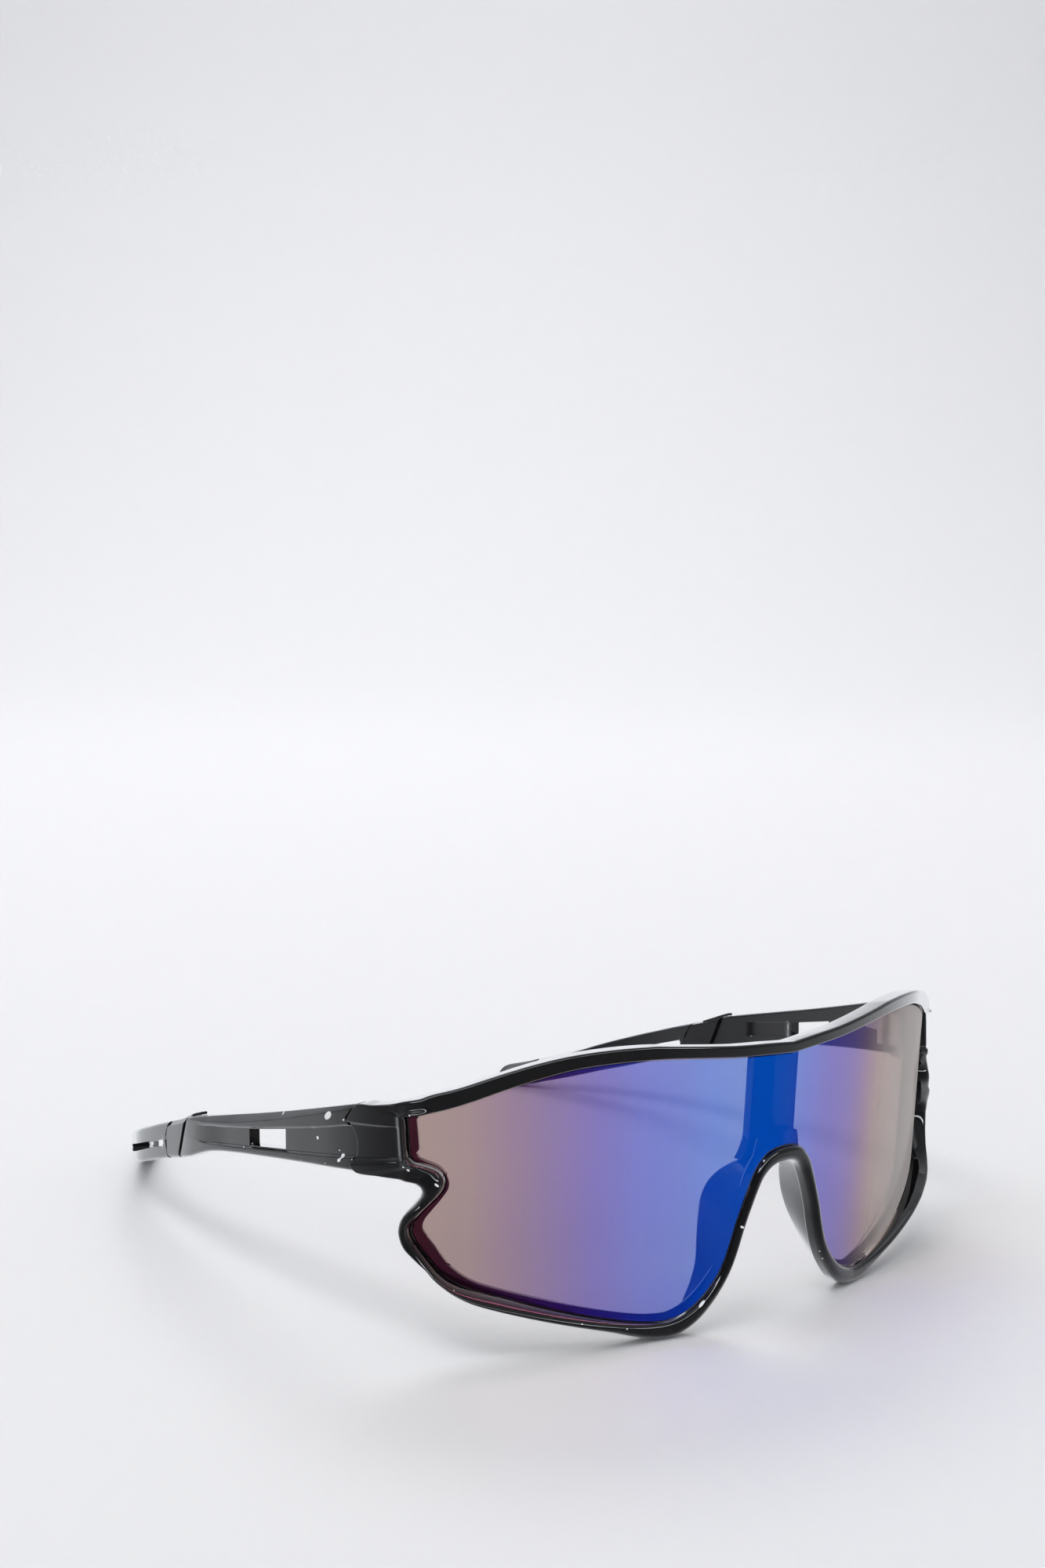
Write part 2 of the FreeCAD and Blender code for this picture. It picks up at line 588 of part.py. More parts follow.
def leaf_pocket(side, name, x_span, y_span, low, high):
    """Box around a leaf plate that reaches from height low to height high."""
    box = doc.addObject("Part::Box", side + name)
    x_low, x_high = across(side, *x_span)
    y_low, y_high = y_span
    z_low, z_high = low + " - dims.pocket_high_play", high + " + dims.pocket_high_play"
    bind(box, Length="(%s) - (%s)" % (x_high, x_low), Width="(%s) - (%s)" % (y_high, y_low),
         Height="(%s) - (%s)" % (z_high, z_low))
    return at_hinge(box, side, x_low, y_low, z_low)


def knuckle_room(side, name):
    cylinder = doc.addObject("Part::Cylinder", side + name)
    bind(cylinder, Radius="dims.knuckle_radius + dims.room_play",
         Height=LEAF_SPAN + " + dims.room_below + dims.room_above")
    return at_hinge(cylinder, side, z="dims.leaf_low - dims.room_below")


# --------------------------------------------------------------- front frame
def front_frame():
    solids = [rim_with_openings()]
    cutters = [lens_recess()]
    for side in SIGN:
        solids += [lug_solid(side), flange_solid(side)]
        cutters.append(leaf_pocket(
            side, "_front_leaf_pocket",
            ("-dims.front_leaf_in - dims.pocket_play",
             "dims.leaf_thick + dims.front_leaf_extra + dims.pocket_play"),
            ("-dims.front_leaf_reach - dims.pocket_end_play", "dims.pocket_rear"),
            "dims.leaf_low", "dims.leaf_high"))
        cutters.append(knuckle_room(side, "_knuckle_room"))
    frame = cut("front_frame_cut", fuse("front_fused", *solids), fuse("front_cuts", *cutters))
    frame.Label = "front_frame"
    return frame


# ------------------------------------------------------------------- temples
CORE_BAND_OVER = 3.0        # the core's plan band runs past the strip at each end
# Recessed panel outside the arm: upper edge, rear end, lower edge, (back, z).
ARM_PANEL = [
    [(32.0, 41.3), (36.5, 40.75), (46.0, 38.4), (56.6, 35.9), (68.2, 33.2), (78.0, 31.0),
     (85.0, 29.4)],
    [(85.0, 29.4), (87.4, 28.5), (88.6, 27.3), (88.4, 26.2)],
    [(88.4, 26.2), (80.7, 27.1), (68.0, 29.3), (56.4, 31.35), (46.0, 33.2), (36.5, 34.9),
     (32.0, 35.6)]]
# Recess on the arm's inner face, behind the window: upper and lower run, (back, z).
INNER_RECESS = [[(70.0, 33.0), (76.0, 31.6), (84.4, 29.8)],
                [(84.4, 27.2), (76.0, 28.4), (70.0, 29.2)]]
INNER_STATIONS = [66.0, 70.0, 75.0, 80.0, 85.0, 90.0]
INNER_OVER = 3.0            # the recess cutter reaches this far past the inner face
# Window through the arm: upper and lower run, (back, z).
WINDOW = [[(57.0, 35.75), (62.5, 34.5), (67.8, 33.25)],
          [(67.6, 29.5), (62.5, 30.35), (57.0, 31.3)]]
# Collar tab: top, underside in the collar, underside over the arm,
# (back, height above the temple's upper edge).
TAB = [[(89.6, 0.75), (91.2, 0.95), (93.6, 0.85), (97.0, 0.5), (101.0, 0.1)],
       [(101.0, -0.6), (94.2, -0.6)],
       [(94.2, 0.08), (91.0, 0.08), (89.6, 0.08)]]
TAB_INSET = 1.7             # depth of the tab's outer side below the outer face
TAB_PROUD = 0.2             # the tab stands this far out of the inner face
# Slot between the rails of the ear section: top, rear end, underside, front end, (back, z).
EAR_SLOT = [
    [(107.0, 21.35), (114.0, 19.1), (121.0, 16.8), (128.0, 14.5), (133.6, 12.75)],
    [(133.6, 12.75), (134.4, 12.0), (133.8, 11.15)],
    [(133.8, 11.15), (128.0, 12.9), (121.0, 15.3), (114.0, 17.7), (107.2, 19.8)],
    [(107.2, 19.8), (106.4, 20.7), (107.0, 21.35)]]
# Edge of the tip behind its split line: round the rear, then the front of the
# underside, (back, z).
TIP_REAR = [(150.8, 8.9), (153.5, 7.95), (155.6, 6.9), (156.7, 5.5), (156.9, 4.0),
            (156.3, 2.3), (155.2, 0.95), (154.0, 0.2), (153.2, 0.0)]
TIP_UNDER = [(150.9, 0.0), (149.6, 0.7)]


def core_solid(side, name, grow):
    """Strip under the upper edge, from the arm through the collar into the ear section."""
    start, end = dim("core_start"), dim("core_end")
    inset = dim("core_inset")
    band = plan_band(side, name + "_band",
                     spaced(start - CORE_BAND_OVER, end + CORE_BAND_OVER, 5.0, 3),
                     inset - grow, inset + dim("core_thick") + grow)
    top = [(back, z - dim("core_top") + grow)
           for back, z in run_between(UPPER, start - grow, end + grow)]
    bottom = [(back, z - dim("core_bottom") - grow)
              for back, z in run_between(UPPER, end + grow, start - grow)]
    return common(side + name, band, side_plate(side, name + "_plate", [top, bottom]))


def temple_arm(side, band, channel):
    plate = plate_between(side, "_arm_plate",
                          split_run(HINGE_SPLIT, GAP), split_run(COLLAR_FRONT, -GAP))
    body = common(side + "_arm_body", band, plate)
    panel = common(
        side + "_arm_panel",
        plan_band(side, "_arm_panel_band", spaced(30.0, 92.0, 5.0, 3),
                  PANEL_OUTSIDE, dim("panel_depth")),
        side_plate(side, "_arm_panel_plate", ARM_PANEL))
    inner_recess = common(
        side + "_arm_inner_recess",
        plan_band(side, "_arm_inner_band", INNER_STATIONS,
                  lambda back: thick_at(back) - dim("inner_depth"),
                  lambda back: thick_at(back) + INNER_OVER),
        side_plate(side, "_arm_inner_plate", INNER_RECESS))
    window = side_plate(side, "_arm_window", WINDOW)
    leaf = leaf_pocket(
        side, "_temple_leaf_pocket",
        ("dims.web_in - dims.pocket_play", "dims.temple_leaf_out + dims.pocket_play"),
        ("dims.temple_leaf_front - dims.pocket_play", "dims.temple_leaf_back + dims.pocket_play"),
        "dims.leaf_mid_low", "dims.leaf_mid_high")
    sweep = knuckle_room(side, "_knuckle_sweep")
    tools = fuse(side + "_arm_cuts", panel, inner_recess, window, channel, leaf, sweep)
    arm = cut(side + "_arm_cut", body, tools)
    arm.Label = side + "_temple_arm"
    return arm


def temple_collar(side, band, channel):
    """Collar with a tab that runs forward over the inner half of the arm."""
    plate = plate_between(side, "_collar_plate",
                          split_run(COLLAR_FRONT, GAP), split_run(COLLAR_REAR, -GAP))
    ring = common(side + "_collar_ring", band, plate)
    tab_band = plan_band(side, "_tab_band", spaced(86.0, 104.0, 5.0, 3),
                         TAB_INSET, lambda back: thick_at(back) + TAB_PROUD)
    tab_plate = side_plate(side, "_tab_plate", [
        [(back, curve_value(UPPER, back) + rise) for back, rise in run] for run in TAB])
    tab = common(side + "_collar_tab", tab_band, tab_plate)
    collar = cut(side + "_collar_cut", fuse(side + "_collar_body", ring, tab), channel)
    collar.Label = side + "_temple_collar"
    return collar


def ear_section(side, band, channel):
    """Upper and lower rail with a slot between them."""
    plate = plate_between(side, "_ear_plate",
                          split_run(COLLAR_REAR, GAP), split_run(TIP_SPLIT, -GAP))
    slot = side_plate(side, "_ear_slot", EAR_SLOT)
    ear = cut(side + "_ear_cut", common(side + "_ear_body", band, plate),
              fuse(side + "_ear_cuts", slot, channel))
    ear.Label = side + "_ear_section"
    return ear


def temple_tip(side, band):
    upper_end, lower_end = split_run(TIP_SPLIT, GAP)
    plate = side_plate(side, "_tip_plate", [[upper_end] + TIP_REAR, TIP_UNDER + [lower_end]])
    tip = common(side + "_tip_body", band, plate)
    tip.Label = side + "_temple_tip"
    return tip


def temple(side):
    band = plan_band(side, "_temple_band", spaced(34.0, 159.5, 5.0, 3), 0.0, thick_at)
    strip = core_solid(side, "_core_strip", 0.0)
    strip.Label = side + "_temple_core"
    channel = core_solid(side, "_core_channel", dim("core_play"))
    return [temple_arm(side, band, channel), temple_collar(side, band, channel),
            ear_section(side, band, channel), temple_tip(side, band), strip]


# ----------------------------------------------------- build, check and write
nodes = [front_frame(), shield_lens()]
for side in SIGN:
    nodes += temple(side)
    nodes += [front_leaf(side), temple_leaf(side), hinge_screw(side)]

doc.recompute()
bad = [obj.Name for obj in doc.Objects if "Invalid" in obj.State or "Error" in obj.State]
if bad:
    raise RuntimeError("failed: " + ", ".join(bad))
for node in nodes:
    if node.Shape.isNull() or not node.Shape.isValid():
        raise RuntimeError(node.Label + " has no valid shape")
    if len(node.Shape.Solids) != 1:
        raise RuntimeError("%s has %d solids" % (node.Label, len(node.Shape.Solids)))
for node in nodes:
    node.Shape.exportStep("parts/%s.step" % node.Label)
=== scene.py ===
"""Wraparound sport sunglasses with one mirrored shield lens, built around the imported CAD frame.

The lens faces -Y, the temples run back along +Y, Z is up and the left temple is on +X.
Lengths are millimetres unless marked; y is measured from the lens front's centre.
Meshes are turned into metres, and moved to their place in Y, by add_object.
"""
import json
import math
from collections import namedtuple

import bmesh
import bpy
import numpy as np
from mathutils import Matrix, Vector
from mathutils.geometry import delaunay_2d_cdt


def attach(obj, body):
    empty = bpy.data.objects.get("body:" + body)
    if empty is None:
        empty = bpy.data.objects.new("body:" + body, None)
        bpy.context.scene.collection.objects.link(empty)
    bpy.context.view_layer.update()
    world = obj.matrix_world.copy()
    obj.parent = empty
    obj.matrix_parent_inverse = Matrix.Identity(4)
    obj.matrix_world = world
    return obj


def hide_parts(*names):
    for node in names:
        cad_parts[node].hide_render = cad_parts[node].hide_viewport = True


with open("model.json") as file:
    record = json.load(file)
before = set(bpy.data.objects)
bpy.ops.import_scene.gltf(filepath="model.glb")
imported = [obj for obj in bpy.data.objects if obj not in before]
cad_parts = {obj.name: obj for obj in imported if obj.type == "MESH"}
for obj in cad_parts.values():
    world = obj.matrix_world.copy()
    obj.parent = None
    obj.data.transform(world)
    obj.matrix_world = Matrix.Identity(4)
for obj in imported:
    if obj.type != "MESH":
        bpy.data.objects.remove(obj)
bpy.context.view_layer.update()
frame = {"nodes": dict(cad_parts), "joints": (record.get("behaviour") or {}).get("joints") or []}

HINGE_Y = 36.6
hinge = next(j for j in frame["joints"] if j["name"] == "left_temple_fold")
CENTRE_Y = hinge["pos_m"][1] * 1000 - HINGE_Y   # the lens front's centre in the CAD frame

# The lens front is a cylinder that leans back as it rises.
LENS_RADIUS = 93.8
LENS_SLOPE = math.tan(math.radians(3.794))
LENS_MID_Z = 25.0        # height at which the lean moves nothing

# Heights out from the lens front.
LIP, SEAT, BACK = 1.4, -1.95, -3.4
LUG_DEPTH = 3.6          # depth of the lug from LIP to BACK
JOIN_Y = 25.6            # where the lens curve hands over to the temple's outer face
JOIN_RUN = 65.5          # distance along the front at that place
GAP = 0.14               # play at the split lines between temple pieces

# The camera's axes. Paint flecks are laid out in the same axes, to seven places.
VIEW_RIGHT = (0.7976069125929248, -0.6031698089256454, 0.003065058658916562)
VIEW_UP = (0.07171121126088972, 0.09987098252787407, 0.9924128621840878)
VIEW_AHEAD = (0.5988995868786999, 0.791335559955142, -0.12291182362573826)


# ------------------------------------------------------------------ curves
def hermite(p0, p1, p2, p3, t):
    """Point at t between p1 and p2; knots are spaced by the first two coordinates."""
    d0, d1, d2 = (max(np.linalg.norm(b[:2] - a[:2]), 1e-6) ** 0.5
                  for a, b in ((p0, p1), (p1, p2), (p2, p3)))
    slope1 = ((p1 - p0) / d0 - (p2 - p0) / (d0 + d1) + (p2 - p1) / d1) * d1
    slope2 = ((p2 - p1) / d1 - (p3 - p1) / (d1 + d2) + (p3 - p2) / d2) * d1
    t2, t3 = t * t, t * t * t
    return ((2 * t3 - 3 * t2 + 1) * p1 + (t3 - 2 * t2 + t) * slope1
            + (-2 * t3 + 3 * t2) * p2 + (t3 - t2) * slope2)


def spline_through(points, steps):
    """Open Catmull-Rom curve; steps is the number of samples per span, one or a list."""
    points = np.asarray(points, float)
    spans = len(points) - 1
    out = []
    for i, count in enumerate(np.broadcast_to(steps, spans)):
        p1, p2 = points[i], points[i + 1]
        p0 = points[i - 1] if i > 0 else 2 * p1 - p2
        p3 = points[i + 2] if i + 1 < spans else 2 * p2 - p1
        out += [hermite(p0, p1, p2, p3, k / int(count)) for k in range(count)]
    return np.array(out + [points[-1]])


class Curve:
    """Smooth cubic through (position, value) pairs, straight beyond its ends."""

    def __init__(self, rows):
        self.x, self.y = np.array(rows, float).T
        step = np.diff(self.x)
        rise = np.diff(self.y) / step
        inner = (rise[:-1] * step[1:] + rise[1:] * step[:-1]) / (step[:-1] + step[1:])
        self.slope = np.concatenate([rise[:1], inner, rise[-1:]])

    def __call__(self, x):
        x = np.asarray(x, float)
        i = np.clip(np.searchsorted(self.x, x) - 1, 0, len(self.x) - 2)
        x0, x1 = self.x[i], self.x[i + 1]
        y0, y1 = self.y[i], self.y[i + 1]
        slope0, slope1 = self.slope[i], self.slope[i + 1]
        step = x1 - x0
        share = (x - x0) / step
        t = np.clip(share, 0, 1)
        value = ((2 * t ** 3 - 3 * t ** 2 + 1) * y0 + (t ** 3 - 2 * t ** 2 + t) * step * slope0
                 + (-2 * t ** 3 + 3 * t ** 2) * y1 + (t ** 3 - t ** 2) * step * slope1)
        value = np.where(share < 0, y0 + (x - x0) * slope0, value)
        return np.where(share > 1, y1 + (x - x1) * slope1, value)


def ease(start, end, x):
    """0 at start, 1 at end, smooth in between."""
    t = np.clip((np.asarray(x, float) - start) / (end - start), 0, 1)
    return t * t * (3 - 2 * t)


def arc(centre_x, centre_z, radius, start, end, steps):
    """Points of an arc, angles in degrees."""
    angles = [math.radians(start + (end - start) * k / steps) for k in range(steps + 1)]
    return [(centre_x + radius * math.cos(a), centre_z + radius * math.sin(a)) for a in angles]


# Outer face of the temples in plan: (y, |x|).
PLAN = Curve([
    (22.0, 64.2), (24.0, 65.6), (26.0, 66.9), (28.5, 68.35), (31.0, 69.6), (33.5, 70.55),
    (35.5, 71.15), (40.0, 71.95), (50.0, 72.8), (60.0, 73.35), (70.0, 73.85), (80.0, 74.3),
    (88.0, 74.45), (93.0, 74.3), (98.0, 73.75), (104.0, 72.95), (110.0, 72.2), (116.0, 71.35),
    (123.0, 70.0), (130.0, 67.75), (137.0, 64.6), (144.0, 60.6), (150.0, 56.7), (156.0, 52.4),
    (160.0, 49.4)])
# Top and bottom edges of the temples: (y, z).
TOP = Curve([
    (22.0, 46.4), (26.0, 46.2), (30.0, 45.75), (34.8, 44.95), (41.5, 43.2), (49.0, 41.1),
    (57.1, 38.85), (65.7, 36.55), (74.3, 34.35), (84.6, 31.75), (93.0, 29.55), (98.5, 27.65),
    (104.0, 25.85), (109.5, 24.1), (115.0, 22.2), (120.0, 20.5), (125.0, 18.75),
    (130.0, 16.95), (134.3, 15.25), (139.0, 13.25), (143.0, 11.65), (149.0, 9.5),
    (153.5, 7.95), (156.0, 7.0)])
BOTTOM = Curve([
    (22.0, 32.2), (26.0, 32.3), (30.0, 32.5), (35.2, 32.45), (41.7, 31.7), (49.2, 30.7),
    (57.3, 29.5), (65.9, 28.15), (74.5, 26.75), (80.7, 25.55), (84.8, 24.5), (89.0, 23.0),
    (93.3, 21.3), (97.0, 20.2), (101.0, 19.0), (106.0, 17.6), (111.0, 16.05), (116.0, 14.4),
    (121.0, 12.65), (126.6, 10.85), (132.0, 9.2), (137.0, 7.5), (142.0, 5.85), (147.0, 4.3),
    (150.0, 3.4), (152.0, 2.95)])


def plan_point(y, depth):
    """Plan point (|x|, y) that lies depth inside the outer temple face at y."""
    before, after = PLAN(np.asarray(y) - 0.5), PLAN(np.asarray(y) + 0.5)
    length = np.hypot(1.0, after - before)
    return PLAN(y) - depth / length, y + depth * (after - before) / length


# "run" goes along the front in plan: LENS_RADIUS * sin(angle) over the lens, then arc
# length past JOIN_RUN.
LUG_Y = np.linspace(JOIN_Y, 60, 400)
LUG_RUN = JOIN_RUN + np.concatenate(
    [[0], np.cumsum(np.hypot(np.diff(LUG_Y), np.diff(PLAN(LUG_Y))))])


def lug(y):
    """The run at which the outer face reaches y."""
    if y < JOIN_Y:
        x = float(PLAN(y))
        return LENS_RADIUS * x / math.hypot(x, LENS_RADIUS - y)
    return float(np.interp(y, LUG_Y, LUG_RUN))


def lens_point(run, z, height):
    """Point height out from the lens front."""
    sine = run / LENS_RADIUS
    radius = LENS_RADIUS + height
    y = LENS_RADIUS - radius * np.sqrt(1 - sine ** 2) - LENS_SLOPE * (z - LENS_MID_Z)
    return np.stack([radius * sine, y, z], -1)


def skin(points):
    """Place (run, z, height) points on the lens surface; past the lens they follow the lug."""
    run, z, height = np.moveaxis(np.asarray(points, float), -1, 0)
    on_lens = lens_point(np.clip(run, -80, 70), z, height)
    lug_y = np.interp(run, LUG_RUN, LUG_Y) + np.minimum(run - JOIN_RUN, 0) * 0.9
    x, y = plan_point(lug_y, (LIP - height) * LUG_DEPTH / (LIP - BACK))
    share = ease(64.2, 67.2, run)[..., None]
    return on_lens * (1 - share) + np.stack([x, y, z], -1) * share


# ------------------------------------------------------------- mesh helpers
def add_object(name, points, faces, materials, face_materials=None):
    mesh = bpy.data.meshes.new(name)
    points = np.array(points, float)
    points[:, 1] += CENTRE_Y
    mesh.from_pydata((points / 1000.0).tolist(), [], [tuple(int(i) for i in f) for f in faces])
    mesh.validate()
    mesh.update()
    ob = bpy.data.objects.new(name, mesh)
    bpy.context.scene.collection.objects.link(ob)
    for material in materials:
        mesh.materials.append(material)
    if face_materials is not None:
        mesh.polygons.foreach_set("material_index", np.asarray(face_materials, np.int32))
    mesh.polygons.foreach_set("use_smooth", np.full(len(mesh.polygons), True))
    return ob


def tidy(ob, sharp_angle):
    """Merge doubles, face outwards, mark sharp edges (degrees) and weight the normals."""
    merge = 2e-6         # metres
    bm = bmesh.new()
    bm.from_mesh(ob.data)
    bmesh.ops.remove_doubles(bm, verts=bm.verts, dist=merge)
    bmesh.ops.dissolve_degenerate(bm, dist=merge, edges=bm.edges)
    bmesh.ops.delete(bm, geom=[v for v in bm.verts if not v.link_faces], context="VERTS")
    bmesh.ops.recalc_face_normals(bm, faces=bm.faces)
    for edge in bm.edges:
        if len(edge.link_faces) == 2:
            edge.smooth = edge.calc_face_angle(0) < math.radians(sharp_angle)
    bm.to_mesh(ob.data)
    bm.free()
    ob.data.update()
    modifier = ob.modifiers.new("weighted", "WEIGHTED_NORMAL")
    modifier.keep_sharp = True
    modifier.weight = 80
    return ob


# Opening through a tube: rings first to last, between the outer rows that start at outer
# and the inner rows that start at inner; outer rows run downwards, inner rows upwards.
Window = namedtuple("Window", "first last outer inner rows")


def window_walls(size, window):
    first, last, outer, inner, rows = window
    walls = []
    for i in range(first, last):
        a, b = i * size, (i + 1) * size
        walls.append((a + outer, b + outer, b + inner + rows, a + inner + rows))
        walls.append((a + outer + rows, a + inner, b + inner, b + outer + rows))
    for i, step in ((first, 1), (last, -1)):
        a = i * size
        for k in range(rows):
            wall = (a + outer + k, a + outer + k + 1,
                    a + inner + rows - k - 1, a + inner + rows - k)
            walls.append(wall[::step])
    return walls


def add_tube(name, rings, material, sharp_angle, closed=False, window=None, flip_caps=False):
    """Skin rings of points; a closed tube joins its ends, any other gets end caps."""
    rings = np.asarray(rings)
    count, size = rings.shape[:2]
    in_window = set()
    if window:
        in_window = {(i, start + k) for i in range(window.first, window.last)
                     for start in (window.outer, window.inner) for k in range(window.rows)}
    faces = []
    for i in range(count if closed else count - 1):
        this, following = i * size, (i + 1) % count * size
        for j in range(size):
            if (i, j) not in in_window:
                k = (j + 1) % size
                faces.append((this + j, this + k, following + k, following + j))
    if window:
        faces += window_walls(size, window)
    if not closed:
        step = 1 if flip_caps else -1
        faces.append(tuple(range(size))[::step])
        faces.append(tuple(range((count - 1) * size, count * size))[::-step])
    return tidy(add_object(name, rings.reshape(-1, 3), faces, [material]), sharp_angle)


def mirror_x(points):
    points = np.array(points, float)
    points[..., 0] *= -1
    return points


# ---------------------------------------------------------------- materials
class Graph:
    """Builds the node tree of a material or world; its methods return output sockets."""

    def __init__(self, owner):
        owner.use_nodes = True
        self.tree = owner.node_tree
        self.tree.nodes.clear()

    def node(self, kind, inputs=None, out=0, **settings):
        """Add a node; an input takes either a socket or a value."""
        node = self.tree.nodes.new("ShaderNode" + kind)
        for key, value in settings.items():
            setattr(node, key, value)
        for key, value in (inputs or {}).items():
            if isinstance(value, bpy.types.NodeSocket):
                self.tree.links.new(value, node.inputs[key])
            else:
                node.inputs[key].default_value = value
        return node.outputs[out]

    def finish(self, shader, kind="OutputMaterial"):
        output = self.tree.nodes.new("ShaderNode" + kind)
        self.tree.links.new(shader, output.inputs[0])

    def position(self):
        return self.node("TexCoord", out="Object")

    def noise(self, position, scale, detail, roughness=0.5):
        return self.node("TexNoise", {"Vector": position, "Scale": scale, "Detail": detail,
                                      "Roughness": roughness})

    def calc(self, operation, *terms, clamp=False):
        return self.node("Math", dict(enumerate(terms)), operation=operation, use_clamp=clamp)

    def dot(self, a, b):
        return self.node("VectorMath", {0: a, 1: b}, out="Value", operation="DOT_PRODUCT")

    def map_range(self, value, source=(0.0, 1.0), target=(0.0, 1.0), kind="LINEAR"):
        return self.node("MapRange", dict(enumerate((value, *source, *target))),
                         interpolation_type=kind)

    def smooth_range(self, value, source, target=(0.0, 1.0)):
        return self.map_range(value, source, target, kind="SMOOTHSTEP")

    def mix_colour(self, share, first, second):
        return self.node("Mix", {0: share, 6: first, 7: second}, out=2, data_type="RGBA")

    def mix_shader(self, share, first, second):
        return self.node("MixShader", {0: share, 1: first, 2: second})

    def bump(self, height, strength, distance):
        return self.node("Bump", {"Strength": strength, "Distance": distance,
                                  "Height": height})

    def ramp(self, share, stops):
        """Linear colour ramp through (position, colour) stops."""
        colour = self.node("ValToRGB", {0: share})
        colour_ramp = colour.node.color_ramp
        colour_ramp.interpolation = "LINEAR"
        elements = colour_ramp.elements
        while len(elements) < len(stops):
            elements.new(0.5)
        for element, (position, stop_colour) in zip(elements, stops):
            element.position = position
            element.color = stop_colour
        return colour


def new_material(name):
    material = bpy.data.materials.new(name)
    return material, Graph(material)


def bluish(level, blue):
    """Grey with its blue channel scaled."""
    return (level, level, level * blue, 1)


# Paint flecks: centre in the CAD frame, half length, half width, tilt (degrees).
TEMPLE_FLECKS = [
    ((-72.92, -19.21, 38.40), 0.44, 0.13, 65),
    ((-71.97, -33.67, 41.28), 0.93, 0.52, 52),
    ((-72.35, -28.97, 37.96), 0.34, 0.13, -15),
    ((-72.25, -30.26, 36.19), 0.23, 0.33, 10),
    ((-71.64, -36.78, 35.31), 0.13, 0.13, 0),
    ((-71.51, -37.75, 34.62), 0.39, 0.27, 45),
    ((-71.65, -36.71, 33.64), 0.41, 0.27, 50),
    ((-71.58, -37.24, 34.13), 0.37, 0.13, 50),
    ((-70.15, -43.51, 43.44), 0.21, 0.14, 45),
    ((-73.48, -8.19, 29.77), 0.19, 0.13, 30),
    ((-73.61, -5.47, 28.73), 0.12, 0.11, 0),
    ((-71.46, -38.06, 41.40), 0.17, 0.17, 0),
    ((-73.96, 17.01, 21.39), 0.17, 0.17, 0),
    ((-72.06, -32.68, 32.16), 0.10, 0.09, 0),
    ((-72.60, -25.09, 30.93), 0.09, 0.07, 0),
    ((-73.92, 0.99, 26.26), 0.11, 0.08, 0),
    ((-71.08, -40.13, 34.48), 0.13, 0.13, 0),
]
RIM_FLECKS = [
    ((-65.71, -50.80, 44.40), 0.26, 0.12, -35),
    ((-66.34, -51.12, 34.49), 0.30, 0.18, -25),
    ((-66.83, -50.33, 35.01), 0.18, 0.15, 0),
    ((-61.94, -53.69, 31.95), 0.75, 0.35, -35),
    ((-59.15, -54.90, 12.57), 0.21, 0.18, 0),
    ((-39.82, -67.12, 5.54), 0.15, 0.13, 0),
    ((-31.99, -70.36, 3.54), 0.16, 0.13, 0),
    ((-9.91, -76.69, 19.49), 0.37, 0.22, -25),
    ((-5.71, -77.84, 31.39), 0.24, 0.12, 55),
    ((-17.71, -74.59, 5.95), 0.83, 0.26, 48),
    ((11.35, -75.88, 9.83), 0.13, 0.13, 0),
    ((12.40, -75.63, 8.08), 0.19, 0.13, -40),
    ((-9.85, -77.65, 33.90), 0.10, 0.09, 0),
]
FLECK_DEPTH = 3.0        # half depth of a fleck along the view


def fleck_mask(graph, position, centre, half_length, half_width, tilt):
    """1 inside an ellipsoid that faces the camera."""
    right, up, ahead = ([round(c, 7) for c in axis]
                        for axis in (VIEW_RIGHT, VIEW_UP, VIEW_AHEAD))
    cos, sin = math.cos(math.radians(tilt)), math.sin(math.radians(tilt))
    offset = graph.node("VectorMath", {0: position, 1: tuple(c / 1000 for c in centre)},
                        operation="SUBTRACT")

    def along(axis, size):
        return graph.dot(offset, tuple(c * 1000 / size for c in axis))

    length = along([r * cos + u * sin for r, u in zip(right, up)], half_length)
    width = along([-r * sin + u * cos for r, u in zip(right, up)], half_width)
    depth = along(ahead, FLECK_DEPTH)
    total = graph.calc("MULTIPLY_ADD", length, length, graph.calc("MULTIPLY", width, width))
    total = graph.calc("MULTIPLY_ADD", depth, depth, total)
    return graph.calc("LESS_THAN", total, 1.0)


def dust_mask(graph, position):
    """Tiny scattered dots: a few Voronoi cells are picked and each gets its own size."""
    distance = graph.node("TexVoronoi", {"Vector": position, "Scale": 118.0,
                                         "Randomness": 1.0})
    red = graph.node("SeparateColor", {0: distance.node.outputs["Color"]})
    picked = graph.calc("LESS_THAN", red, 0.05)
    size = graph.calc("MULTIPLY", red.node.outputs[1], 0.018)
    return graph.calc("MULTIPLY", picked, graph.calc("LESS_THAN", distance, size))


